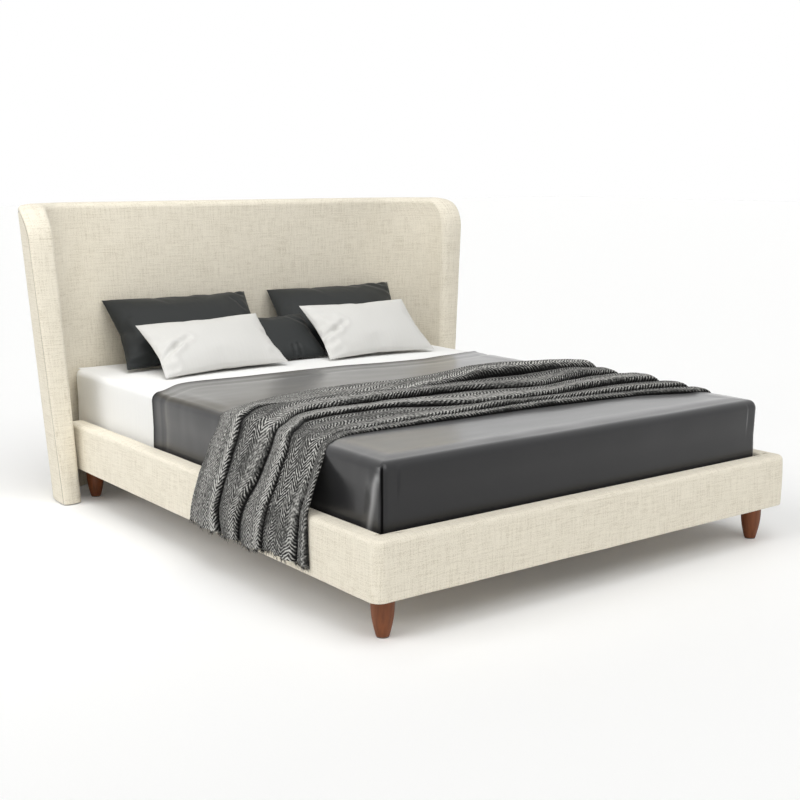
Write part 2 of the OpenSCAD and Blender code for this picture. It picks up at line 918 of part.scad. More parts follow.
module block(grow, low_z, low_edge) {
    top_z = mattress_top - mattress_crown + grow;
    r = mattress_edge_r + grow;
    mid_z = mattress_z + mattress_h / 2;
    bottom = low_edge
        ? [for (a = [90, 60, 30, 0]) [r * (1 - cos(a)) - grow, low_z + r * (1 - sin(a))]]
        : [[-grow, low_z], [-grow, low_z + mattress_edge_r]];
    levels = concat(
        bottom,
        [[mattress_draw - grow, mid_z]],
        [for (a = edge_angles) [r * (1 - cos(a)) - grow, top_z - r + r * sin(a)]],
        [
            for (k = [1:len(crown_shares) - 1])
                let (inset = crown_shares[k][0] * mattress_w)
                    [inset + mattress_edge_r, top_z + mattress_crown * crown_shares[k][1]]
        ]
    );
    loft([for (l = levels) block_ring(l[0], l[1])]);
}

module mattress() {
    color(white_cotton) block(0, mattress_z, true);
}

hem_z = mattress_z + mattress_edge_r / 2;

module fitted_sheet() {
    color(white_cotton) difference() {
        block(sheet_1 + fitted_t, hem_z, false);
        block(sheet_1, hem_z - cut, false);
    }
}

// The head edge of the flat sheet, as shares of the mattress: half width and length from the foot
flat_edge_shares = [
    [-1.2, 0.648], [-1, 0.645], [-0.97, 0.645], [-0.93, 0.655], [-0.87, 0.677], [-0.8, 0.693],
    [-0.73, 0.694], [-0.67, 0.689], [-0.45, 0.682], [0.06, 0.684], [0.28, 0.667], [0.55, 0.66],
    [0.84, 0.683], [0.92, 0.694], [1, 0.7], [1.2, 0.7]
];

module flat_sheet() {
    half = mattress_w / 2;
    edge = [for (p = flat_edge_shares) [p[0] * half, mattress_foot_y + p[1] * mattress_l]];
    low_y = mattress_foot_y - foot_gap;
    plan = concat([[edge[0][0], low_y]], edge, [[edge[len(edge) - 1][0], low_y]]);
    color(grey_cotton) intersection() {
        difference() {
            block(sheet_top, hem_z, false);
            block(sheet_2, hem_z - cut, false);
        }
        translate([0, 0, hem_z - mattress_h]) linear_extrude(3 * mattress_h) polygon(plan);
    }
}

// The throw: its path over rails and mattress, from the left end to the right end
throw_gap = 2;
throw_edge_r = mattress_edge_r + sheet_top + throw_gap;
throw_n = 24;
top_out_x = mattress_w / 2 + sheet_top + throw_gap;
hang_x = rail_out_x + throw_gap + 2 * touch;
rail_edge_z = rail_top + throw_gap;
top_edge_z = mattress_top - mattress_crown + sheet_top + throw_gap;

function top_z_at(x) =
    top_edge_z + mattress_crown * crown_share(max(0, mattress_w / 2 - mattress_edge_r - abs(x)));

top_x_shares = [-0.9, -0.82, -0.72, -0.58, -0.4, -0.2, 0, 0.2, 0.4, 0.56, 0.7, 0.82, 0.9];
function edge_arc(side) = [
    for (a = [15, 50, 80])
        let (b = side < 0 ? a : 95 - a)
            [side * (top_out_x - throw_edge_r + throw_edge_r * cos(b)),
             top_edge_z - throw_edge_r + throw_edge_r * sin(b)]
];
function hang(side, z) = [
    [side * hang_x, z],
    [side * hang_x, (z + rail_edge_z) / 2],
    [side * hang_x, rail_edge_z],
    [side * (hang_x + 0.45 * (top_out_x - hang_x)), rail_edge_z + 0.5 * (top_edge_z - rail_edge_z)]
];
throw_path = concat(
    hang(-1, throw_left_z),
    edge_arc(-1),
    [for (t = top_x_shares) [t * top_out_x, top_z_at(t * top_out_x)]],
    edge_arc(1),
    backwards(hang(1, throw_right_z))
);

// Edges of the throw along its path, as shares of its width from its place
throw_back_shares = [
    [0, 0.34], [0.07, 0.27], [0.12, 0.245], [0.15, 0.2], [0.175, 0.18], [0.215, 0.33], [0.25, 0.39],
    [0.32, 0.455], [0.42, 0.505], [0.55, 0.49], [0.61, 0.515], [0.69, 0.58], [0.75, 0.53],
    [0.79, 0.46], [0.86, 0.42], [1, 0.4]
];
throw_front_shares = [
    [0, -0.53], [0.07, -0.52], [0.16, -0.45], [0.2, -0.42], [0.27, -0.345], [0.36, -0.363],
    [0.5, -0.385], [0.63, -0.46], [0.73, -0.5], [0.81, -0.53], [0.87, -0.585], [1, -0.6]
];

function path_length(k) = k == 0 ? 0 : path_length(k - 1) + norm(throw_path[k] - throw_path[k - 1]);
function path_normal(k) =
    let (
        a = throw_path[max(0, k - 1)],
        b = throw_path[min(len(throw_path) - 1, k + 1)],
        d = (b - a) / norm(b - a)
    )
        [-d[1], d[0]];

// Pleats run along the throw. Their valleys lie at these shares of its width, and the height
// of the ridges changes along its path.
valley_shares = [[0, 0], [0.2, 1], [0.42, 2], [0.755, 3], [1, 4]];
ridge_shares = [[0, 0.7], [0.15, 0.7], [0.5, 0.9], [0.8, 1.4], [0.88, 1.3], [0.95, 0.6], [1, 0.6]];

function fold(v, t) =
    let (phase = 360 * lookup(v, valley_shares))
        lookup(t, ridge_shares) * (0.5 - 0.5 * cos(phase + 24 * sin(phase)));

function throw_row(k, t, lift) =
    let (
        p = throw_path[k],
        n = path_normal(k),
        y0 = throw_y + throw_w * lookup(t, throw_front_shares),
        y1 = throw_y + throw_w * lookup(t, throw_back_shares)
    )
        [
            for (i = [0:throw_n])
                let (v = i / throw_n, out = fold_h * fold(v, t) + lift)
                    [p[0] + n[0] * out, y0 + (y1 - y0) * v, p[1] + n[1] * out]
        ];

module throw() {
    total = path_length(len(throw_path) - 1);
    color(grey_wool) loft([
        for (k = [0:len(throw_path) - 1])
            let (t = path_length(k) / total) ring(throw_row(k, t, 0), throw_row(k, t, throw_t))
    ]);
}

// Pillows: a drawn-in outline with pointed corners, and a crown on both sides
side_steps = 6;
draw_share = 0.06;
level_shares = [-1, -0.9, -0.66, -0.34, 0, 0.34, 0.66, 0.9, 1];

function outline_point(w, h, g, u, v) =
    let (d = draw_share * (2 - g))
        [w / 2 * g * u * (1 - d * (1 - v * v)), h / 2 * g * v * (1 - d * (1 - u * u))];

function pillow_edge(w, h, g) = concat(
    [for (k = [0:side_steps / 2]) outline_point(w, h, g, 2 * k / side_steps, -1)],
    [for (k = [1:side_steps]) outline_point(w, h, g, 1, -1 + 2 * k / side_steps)],
    [for (k = [1:side_steps / 2]) outline_point(w, h, g, 1 - 2 * k / side_steps, 1)]
);

// Half the thickness at each level, and how far the outline has come in there
function level_g(s) = 1 - 0.78 * pow(abs(s), 2.2);

module pillow(w, h, t) {
    rings = [
        for (s = level_shares)
            let (
                points = pillow_edge(w, h, level_g(s)),
                y = t / 2 * s,
                right = [for (p = points) [max(p[0], t * 0.001), p[1], y]]
            )
                ring(right, mirrored(right))
    ];
    rotate([90, 0, 0]) loft(rings);
}

bed_top = mattress_top + sheet_1 + fitted_t + touch;
pillow_lean = 51;
cushion_left_lean = 57;
cushion_right_lean = 52;
middle_lean = 51;
cushion_turn = 2;
middle_w = 280;
middle_h = 255;
middle_t = 62;

// Places of the pillows, as shares of half the mattress's width and of its length from the head
pillow_left_share = [-0.421, 0.1424];
pillow_right_share = [0.546, 0.1424];
cushion_middle_share = [0.0157, 0.1975];
cushion_left_share = [-0.455, 0.2448];
cushion_right_share = [0.468, 0.2488];

// How far a leaning pillow's belly reaches below its lower corners
function belly(h, t, lean) =
    max([for (s = level_shares) t / 2 * s * sin(lean) - h / 2 * (1 - level_g(s)) * cos(lean)]);

// Lays a pillow by the middle of its lower edge; it leans back from upright and may turn
module lay(share, lean, turn, w, h, t) {
    x = share[0] * mattress_w / 2;
    y = mattress_head_y - share[1] * mattress_l;
    translate([x, y, bed_top + belly(h, t, lean)])
        rotate([0, 0, turn]) rotate([-lean, 0, 0]) translate([0, 0, h / 2]) pillow(w, h, t);
}

module pillow_left() {
    color(grey_cotton) lay(pillow_left_share, pillow_lean, 0, pillow_w, pillow_h, pillow_t);
}

module pillow_right() {
    color(grey_cotton) lay(pillow_right_share, pillow_lean, 0, pillow_w, pillow_h, pillow_t);
}

module cushion_middle() {
    color(grey_cotton) lay(cushion_middle_share, middle_lean, 0, middle_w, middle_h, middle_t);
}

module cushion_left() {
    color(white_cotton)
        lay(cushion_left_share, cushion_left_lean, cushion_turn, cushion_w, cushion_h, cushion_t);
}

module cushion_right() {
    color(white_cotton)
        lay(cushion_right_share, cushion_right_lean, -cushion_turn, cushion_w, cushion_h, cushion_t);
}

leg_foot_left();
leg_foot_right();
leg_head_left();
leg_head_right();
leg_bolts();
felt_pads();
corner_blocks();
foot_rail_board();
foot_rail_cover();
side_rail_board_left();
side_rail_board_right();
side_rail_cover_left();
side_rail_cover_right();
head_crossbar();
slat_ledge_left();
slat_ledge_right();
corner_brackets();
centre_beam();
beam_hangers();
centre_leg_foot();
centre_leg_middle();
centre_leg_head();
levelling_foot_foot();
levelling_foot_middle();
levelling_foot_head();
slats_left();
slats_right();
slat_caps_left();
slat_caps_right();
headboard_pad();
wing_border_left();
wing_border_right();
headboard_back();
headboard_posts();
headboard_rails();
wing_ribs_left();
wing_ribs_right();
wing_stile_left();
wing_stile_right();
headboard_bracket_left();
headboard_bracket_right();
headboard_glides();
frame_bolts();
mattress();
fitted_sheet();
flat_sheet();
throw();
pillow_left();
pillow_right();
cushion_middle();
cushion_left();
cushion_right();
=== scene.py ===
"""Upholstered wingback bed with its bedding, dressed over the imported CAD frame.

Metres, floor at z = 0, +X across the bed and +Y towards the headboard. The sizes and formulas
repeat the part's own, so each piece lies where its node is. Run as a script, or read as an add-on.
"""

import math

import bpy
import numpy as np
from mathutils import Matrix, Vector, noise


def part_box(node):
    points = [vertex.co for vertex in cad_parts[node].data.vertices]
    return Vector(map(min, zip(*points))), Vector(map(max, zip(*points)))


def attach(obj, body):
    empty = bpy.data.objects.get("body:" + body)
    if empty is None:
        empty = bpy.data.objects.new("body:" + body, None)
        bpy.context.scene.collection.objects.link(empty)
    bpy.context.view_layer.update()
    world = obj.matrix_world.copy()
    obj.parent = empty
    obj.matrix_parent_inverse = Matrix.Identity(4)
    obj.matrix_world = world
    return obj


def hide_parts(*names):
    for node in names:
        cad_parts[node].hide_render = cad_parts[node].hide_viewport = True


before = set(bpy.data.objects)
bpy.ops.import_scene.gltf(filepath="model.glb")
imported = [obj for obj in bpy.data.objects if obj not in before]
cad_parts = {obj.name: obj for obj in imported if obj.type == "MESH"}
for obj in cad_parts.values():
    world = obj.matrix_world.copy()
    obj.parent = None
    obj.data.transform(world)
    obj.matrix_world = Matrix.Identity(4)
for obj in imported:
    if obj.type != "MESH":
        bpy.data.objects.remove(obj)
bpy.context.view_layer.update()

bl_info = {
    "name": "Upholstered Bed",
    "version": (1, 0, 0),
    "blender": (4, 5, 0),
    "location": "View3D > Sidebar > Bed",
    "description": "Builds the covers, bedding, finishes and studio of an upholstered wingback bed",
    "category": "Object",
}

MM = 0.001
BODY = "bed"

# Mattress and rails, as in the part's source
MATTRESS_W, MATTRESS_L, MATTRESS_H = 1.53, 2.03, 0.237
MATTRESS_FOOT_R, MATTRESS_HEAD_R, MATTRESS_EDGE_R = 0.028, 0.075, 0.022
MATTRESS_CROWN, MATTRESS_DRAW = 0.006, 0.003
RAIL_T, RAIL_H, RAIL_UNDERSIDE = 0.06, 0.168, 0.12
SIDE_GAP = FOOT_GAP = HEAD_GAP = 0.015
RAIL_EDGE_R, RAIL_CORNER_R, RAIL_LIP_R, RAIL_WRAP_R = 0.016, 0.035, 0.006, 0.004
PANEL_T = 0.08
RAIL_TOP = RAIL_UNDERSIDE + RAIL_H
FRAME_W = MATTRESS_W + 2 * SIDE_GAP + 2 * RAIL_T
BED_L = RAIL_T + FOOT_GAP + MATTRESS_L + HEAD_GAP + PANEL_T
FOOT_Y, BACK_Y = -BED_L / 2, BED_L / 2
PANEL_Y = BACK_Y - PANEL_T
RAIL_OUT_X = FRAME_W / 2
RAIL_IN_X = RAIL_OUT_X - RAIL_T
MATTRESS_FOOT_Y = FOOT_Y + RAIL_T + FOOT_GAP
MATTRESS_HEAD_Y = MATTRESS_FOOT_Y + MATTRESS_L
MATTRESS_Z = RAIL_TOP - 0.054 + 0.0003
MATTRESS_TOP = MATTRESS_Z + MATTRESS_H

# Headboard, as in the part's source
HEAD_H, WING_DEPTH = 1.092, 0.355
WING_BASE_T, WING_TOP_T, WING_SPREAD, WING_SET_BACK = 0.073, 0.101, 0.052, 0.031
INNER_R, OUTER_R, WING_CORNER_R, NOSE_R, CREST_R = 0.21, 0.3, 0.13, 0.03, 0.022
GLIDE_H, SEAM_BACK = 0.004, 0.014
WING_Y = BACK_Y - WING_DEPTH
BASE_IN_X = RAIL_OUT_X + 0.004
BASE_OUT_X = BASE_IN_X + WING_BASE_T
SPREAD_OUT = WING_SPREAD + WING_TOP_T - WING_BASE_T
COVER_END_Y = WING_Y + 0.116

# Bedding, as in the part's source
FITTED_T, FLAT_T, THROW_T, TOUCH = 0.0015, 0.002, 0.007, 0.0003
SHEET_1 = TOUCH
SHEET_2 = SHEET_1 + FITTED_T + TOUCH
SHEET_TOP = SHEET_2 + FLAT_T
HEM_Z = MATTRESS_Z + MATTRESS_EDGE_R / 2
BED_TOP = MATTRESS_TOP + SHEET_1 + FITTED_T + TOUCH
CROWN_SHARES = ((0, 0), (0.06, 0.55), (0.145, 0.9), (0.275, 1))


def linear(code):
    """Turns an sRGB hex colour into the linear values that shaders work in."""
    parts = [int(code[k:k + 2], 16) / 255 for k in (1, 3, 5)]
    return [c / 12.92 if c <= 0.04045 else ((c + 0.055) / 1.055) ** 2.4 for c in parts]


def rgba(colour):
    return (*colour, 1.0)


# Sizes and colours to change

def colour_property(name, code, description):
    return bpy.props.FloatVectorProperty(
        name=name, description=description, default=linear(code), min=0, max=1, size=3, subtype="COLOR"
    )


def length_property(name, default_mm, most_mm, description):
    return bpy.props.FloatProperty(
        name=name, description=description, default=default_mm * MM, min=0, max=most_mm * MM,
        unit="LENGTH", subtype="DISTANCE",
    )


class BedColours(bpy.types.PropertyGroup):
    """Colours of the bed's fabrics and wood"""

    linen: colour_property("Upholstery", "#E4DDCC", "Cream of the woven upholstery")
    slub: colour_property("Upholstery slubs", "#CDC4B0", "Darker thick threads in the upholstery")
    white: colour_property("White cotton", "#ECECEA", "Fitted sheet")
    cushion: colour_property("Pale cushions", "#D0CFCB", "Off-white cotton of the two small cushions")
    sateen: colour_property("Grey sateen", "#171719", "Flat sheet")
    pillowcase: colour_property("Grey pillowcases", "#2B2D2D", "Dark pillows")
    wool_light: colour_property("Throw, light yarn", "#C4C3BE", "Light yarn of the herringbone")
    wool_dark: colour_property("Throw, dark yarn", "#0E0E0D", "Dark yarn of the herringbone")
    walnut: colour_property("Walnut", "#744020", "Varnished legs")


class BedSizes(bpy.types.PropertyGroup):
    """Sizes of the bed's looser details"""

    groove: length_property("Seam groove", 2.8, 5, "How deep the upholstery draws in along a seam")
    puff: length_property("Rail puff", 1.8, 6, "How far the foam of the rails bulges under its cover")
    fold: length_property("Throw folds", 27, 35, "Height of the throw's folds")
    fringe: length_property("Fringe", 18, 40, "Length of the throw's fringe")
    pressure: bpy.props.FloatProperty(
        name="Pillow pressure", description="Pressure that fills the pillows in the cloth simulation",
        default=3.2, min=0, max=10,
    )
    hem: length_property("Hem", 80, 150, "Width of the flat sheet's hem at the head")


# Mesh helpers

def grid_faces(rows, cols, closed=False):
    """Quads of a grid of rows x cols points; a closed grid joins its last column to the first."""
    i, j = np.meshgrid(np.arange(rows - 1), np.arange(cols if closed else cols - 1), indexing="ij")
    a = (i * cols + j).ravel()
    b = (i * cols + (j + 1) % cols).ravel()
    return np.stack([a, b, b + cols, a + cols], 1)


def face_normals(points, faces):
    quads = points[faces]
    return np.cross(quads[:, 2] - quads[:, 0], quads[:, 3] - quads[:, 1])


def point_normals(points, faces):
    normals = np.zeros_like(points)
    across = face_normals(points, faces)
    for k in range(4):
        np.add.at(normals, faces[:, k], across)
    return normals / np.maximum(np.linalg.norm(normals, axis=1, keepdims=True), 1e-12)


def thickened(points, faces, cloth, thickness):
    """Adds an inner skin at the given thickness and closes the rim, so that cloth is a closed form."""
    count = len(points)
    inner = points - point_normals(points, faces) * thickness
    edges = np.concatenate([faces[:, [k, (k + 1) % 4]] for k in range(4)])
    keys = edges[:, 0].astype(np.int64) * count + edges[:, 1]
    rim = edges[~np.isin(keys, edges[:, 1].astype(np.int64) * count + edges[:, 0])]
    walls = np.stack([rim[:, 1], rim[:, 0], rim[:, 0] + count, rim[:, 1] + count], 1)
    skins = np.concatenate([faces, faces[:, ::-1] + count, walls])
    return np.concatenate([points, inner]), skins, np.concatenate([cloth, cloth])


def compact(points, faces, cloth):
    used = np.unique(faces)
    place = np.full(len(points), -1)
    place[used] = np.arange(len(used))
    return points[used], place[faces], cloth[used]


def welded(parts, tolerance=0.05 * MM):
    """Joins patches of (points, faces, cloth), and merges the points that they share."""
    points = np.concatenate([p for p, f, c in parts])
    cloth = np.concatenate([c for p, f, c in parts])
    starts = np.cumsum([0] + [len(p) for p, f, c in parts])
    faces = np.concatenate([f + s for (p, f, c), s in zip(parts, starts)])
    _, first, same = np.unique(
        np.round(points / tolerance).astype(np.int64), axis=0, return_index=True, return_inverse=True
    )
    return points[first], same.ravel()[faces], cloth[first]


def make_object(name, points, faces, cloth):
    """A smooth object whose cloth attribute holds each point's place on the flat cloth, in metres."""
    mesh = bpy.data.meshes.new(name)
    rows = [tuple(dict.fromkeys(row)) for row in np.asarray(faces).tolist()]
    mesh.from_pydata(points.tolist(), [], [row for row in rows if len(row) > 2])
    layer = mesh.attributes.new("cloth", "FLOAT_VECTOR", "POINT")
    layer.data.foreach_set("vector", np.asarray(cloth, np.float32).ravel())
    mesh.validate()
    mesh.shade_smooth()
    mesh.set_sharp_from_angle(angle=math.radians(70))
    obj = bpy.data.objects.new(name, mesh)
    bpy.context.scene.collection.objects.link(obj)
    return obj


def dress(obj, material, slot, *nodes):
    """Gives a piece its finish and its body, and hides the CAD nodes that it stands for; its slot is not
    used.
    """
    obj.data.materials.clear()
    obj.data.materials.append(material)
    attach(obj, BODY)
    if nodes:
        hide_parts(*nodes)
    return obj


def lengths(path):
    """The way along a path up to each of its points."""
    return np.concatenate([[0], np.cumsum(np.linalg.norm(np.diff(path, axis=0), axis=1))])


def smooth_noise(points, size, seed):
    """Smooth unevenness between about -1 and 1, with humps of the given size."""
    shift = Vector((seed * 7.31, seed * 3.17, seed * 5.93))
    return np.array([noise.noise(Vector(p) / size + shift) for p in points.tolist()])


def loft(rings):
    """Closed form through rings; each ring is a right-hand path followed by the left-hand one backwards."""
    rings = np.asarray(rings, float)
    m, n = rings.shape[:2]
    sides = grid_faces(m, n, closed=True)[:, ::-1]
    k = np.arange(n // 2 - 1)
    low = np.stack([k, k + 1, n - 2 - k, n - 1 - k], 1)
    top = np.stack([k, n - 1 - k, n - 2 - k, k + 1], 1) + (m - 1) * n
    faces = np.concatenate([sides, low, top])
    return rings.reshape(-1, 3), faces


def closed_right(points, faces):
    """Turns the faces round where a closed form is inside out."""
    a, b, c = points[faces[:, 0]], points[faces[:, 1]], points[faces[:, 2]]
    d = points[faces[:, 3]]
    volume = np.einsum("ij,ij->i", a, np.cross(b, c)).sum() + np.einsum("ij,ij->i", a, np.cross(c, d)).sum()
    return faces if volume > 0 else faces[:, ::-1]


def bevel(radius, depth):
    depth = np.clip(depth, 0, radius)
    return radius - np.sqrt(np.maximum(radius ** 2 - (radius - depth) ** 2, 0))


# Materials

def node(tree, kind, inputs=(), stops=(), **settings):
    """Adds a shader node, or takes one that is there, with its settings, its ramp's stops and its links.

    inputs holds values by socket or in the sockets' order; a node stands for its first output."""
    made = kind if isinstance(kind, bpy.types.Node) else tree.nodes.new(f"ShaderNode{kind}")
    for name, value in settings.items():
        setattr(made, name, value)
    for place, _ in stops[2:]:
        made.color_ramp.elements.new(place)
    for k, (place, colour) in enumerate(stops):
        element = made.color_ramp.elements[k]
        element.position, element.color = place, rgba(colour)
    for name, value in inputs.items() if isinstance(inputs, dict) else enumerate(inputs):
        if isinstance(value, bpy.types.Node):
            value = next(out for out in value.outputs if out.enabled)
        if isinstance(value, bpy.types.NodeSocket):
            tree.links.new(value, made.inputs[name])
        else:
            made.inputs[name].default_value = value
    return made


def new_material(name, *layers, cloth=True):
    """Starts a material: its tree, its shader, each point's place, and a noise for each layer.

    The place is the one on the flat cloth, or in the object. A layer holds the size of its grains in
    metres along each axis, its detail and its roughness."""
    material = bpy.data.materials.new(name)
    material.use_nodes = True
    tree = material.node_tree
    if cloth:
        place = node(tree, "Attribute", attribute_name="cloth", attribute_type="GEOMETRY").outputs["Vector"]
    else:
        place = node(tree, "TexCoord").outputs["Object"]
    grains = [
        node(tree, "TexNoise", {
            "Vector": node(tree, "Mapping", {"Vector": place, "Scale": [1 / s for s in size]}),
            "Scale": 1.0, "Detail": detail, "Roughness": roughness,
        })
        for size, detail, roughness in layers
    ]
    return material, tree, tree.nodes["Principled BSDF"], place, grains


def tinted(colour, share):
    return [min(c * share, 1) for c in colour]


# Size of the slubs in metres along each axis, and how strong they are
SLUBS = (
    ((0.085, 0.0052, 1), 0.9), ((0.0052, 0.085, 1), 0.9), ((0.03, 0.0036, 1), 0.5), ((0.0036, 0.03, 1), 0.5),
)
SEAM_SHADE, STITCH, STITCH_GAP = 4.2 * MM, 4 * MM, 1.2 * MM


def slub_upholstery(name, ground, slub):
    """Woven polyester in a linen look: matt, with thick slub threads that cross each other."""
    # Slubs are 50 to 150 mm long and 1 to 2 mm thick, drawn about 5 mm thick, so that they show. The
    # plain weave of 0.6 mm threads is drawn as a 3 mm grain
    material, tree, shader, place, (*yarns, grain, cloud) = new_material(
        name, *((size, 1.5, 0.5) for size, _ in SLUBS),
        ((3 * MM, 3 * MM, 1), 1, 0.5), ((0.12, 0.12, 1), 2, 0.5),
    )
    threads = []
    for yarn, (_, weight) in zip(yarns, SLUBS):
        # Between thin and thick yarns most of the cloth is even
        thick, thin = (
            node(tree, "MapRange", {"Value": yarn, "From Min": 0.5, "From Max": end, "To Max": most})
            for end, most in ((0.74, weight), (0.27, 0.8 * weight))
        )
        threads.append(node(tree, "Math", (thick, thin), operation="SUBTRACT"))
    pairs = [node(tree, "Math", threads[k:k + 2], operation="ADD") for k in (0, 2)]
    both = node(tree, "Math", pairs, operation="ADD")
    tone = node(tree, "Math", (both, -0.15, grain), operation="MULTIPLY_ADD")
    tone = node(tree, "Math", (tone, 0.1), operation="SUBTRACT")
    tone = node(tree, "Math", (cloud, 0.2, tone), operation="MULTIPLY_ADD")
    colour = node(tree, "ValToRGB", (tone,), [(0.2, slub), (0.5, ground), (0.8, tinted(ground, 1.07))])
    # The third value of the cloth's place is the way to the nearest seam: its thread lies in a dark line
    _, up, seam = node(tree, "SeparateXYZ", (place,)).outputs
    off = node(tree, "Math", (seam, SEAM_SHADE), operation="DIVIDE", use_clamp=True)
    near = node(tree, "Math", (1.0, off), operation="SUBTRACT")
    gaps = node(tree, "Math", (up, STITCH), operation="PINGPONG")
    thread = node(tree, "Math", (gaps, STITCH_GAP), operation="GREATER_THAN")
    stitched = node(tree, "Math", (thread, 0.3, 0.7), operation="MULTIPLY_ADD")
    line = node(tree, "Math", (near, stitched), operation="MULTIPLY")
    colour = node(tree, "Mix", {0: line, 6: colour, 7: rgba(tinted(slub, 0.3))}, data_type="RGBA")
    height = node(tree, "Math", (both, 0.6, grain), operation="MULTIPLY_ADD")
    node(tree, shader, {
        "Base Color": colour, "Roughness": 0.9, "Sheen Weight": 0.08, "Sheen Roughness": 0.5,
        "Normal": node(tree, "Bump", {"Height": height, "Distance": 0.8 * MM, "Strength": 0.5}),
    })
    return material


def smooth_cotton(name, ground, sheen, roughness, gloss=0.0, hem=0.0):
    """Fine cotton: its 0.25 mm threads are too fine to show, so a 1.5 mm grain stands for them.

    A sateen's long floating threads lie flat: it is dark from the front and shines at a low angle."""
    # A grain, and faint streaks along the warp, where yarns differ
    material, tree, shader, place, (grain, streak, cloud) = new_material(
        name, ((1.5 * MM,) * 3, 1, 0.5), ((2.2 * MM, 0.22, 0.22), 2, 0.5), ((0.3,) * 3, 2, 0.5)
    )
    fine = node(tree, "Math", (grain, 0.4), operation="MULTIPLY")
    drawn = node(tree, "Math", (streak, 0.35), operation="MULTIPLY")
    mixed = node(tree, "Math", (fine, drawn), operation="ADD")
    height = mixed = node(tree, "Math", (cloud, 0.25, mixed), operation="MULTIPLY_ADD")
    colour = node(tree, "ValToRGB", (mixed,), [(0.3, tinted(ground, 0.95)), (0.7, tinted(ground, 1.04))])
    tints = []
    if hem:
        # The hem is a doubled band, painted paler: partly its second layer showing through, partly a
        # painted highlight for the light that the raised band catches. A darker line, drawn 2 mm wide, stands
        # for the stitches that close it and for the painted shade where they draw the cloth in
        reach = node(tree, "SeparateXYZ", (place,)).outputs[2]
        off = node(tree, "Math", (reach, hem), operation="SUBTRACT")
        off = node(tree, "Math", (off,), operation="ABSOLUTE")
        off = node(tree, "Math", (off, 2.5 * MM), operation="DIVIDE")
        line = node(tree, "Math", (1.0, off), operation="SUBTRACT", use_clamp=True)
        inside = node(tree, "Math", (reach, hem), operation="LESS_THAN")
        tints += [
            (node(tree, "Math", (mask, share), operation="MULTIPLY"), tinted(ground, tone))
            for mask, share, tone in ((inside, 0.6, 1.45), (line, 0.8, 0.55))
        ]
        height = node(tree, "Math", (mixed, line), operation="SUBTRACT")
    if gloss:
        # Painted shade and highlight: the fold at each tucked corner (+1) and the thin line under the rolled
        # head edge are painted dark and lose their gloss, as no light comes back out of them; the rounded
        # edge of the flap beside the fold (-1) gets a painted highlight
        painted_light_mark = node(tree, "Attribute", attribute_name="crease_and_painted_light", attribute_type="GEOMETRY").outputs["Fac"]
        bare = node(tree, "Math", (1.0, painted_light_mark), operation="SUBTRACT", use_clamp=True)
        edge = node(tree, "Math", (painted_light_mark, -1.0), operation="MULTIPLY", use_clamp=True)
        fold = node(tree, "Math", (1.0, bare), operation="SUBTRACT")
        tints += [(edge, [0.3] * 3), (fold, [0.002] * 3)]
        node(tree, shader, {
            "Coat Weight": node(tree, "Math", (bare, gloss), operation="MULTIPLY"),
            "Specular IOR Level": node(tree, "Math", (bare, 0.5), operation="MULTIPLY"),
            "Coat Roughness": 0.2, "Coat IOR": 1.33,
        })
    for share, tint in tints:
        colour = node(tree, "Mix", {0: share, 6: colour, 7: rgba(tint)}, data_type="RGBA")
    node(tree, shader, {
        "Base Color": colour, "Roughness": roughness, "IOR": 1.25, "Sheen Weight": sheen,
        "Sheen Roughness": 0.3,
        "Normal": node(tree, "Bump", {"Height": height, "Distance": 0.35 * MM, "Strength": 0.5}),
    })
    return material


# The twill's bands are 29 mm wide and its ribs 13 mm apart; its yarns wander over waves of 17 mm
TWILL_BAND, TWILL_RIB, TWILL_SLOPE = 29 * MM, 13 * MM, 1.15
YARN_WAVE, YARN_SHIFT = 1 / 60, 11 * MM
THROUGH = math.inf  # no grain through the cloth


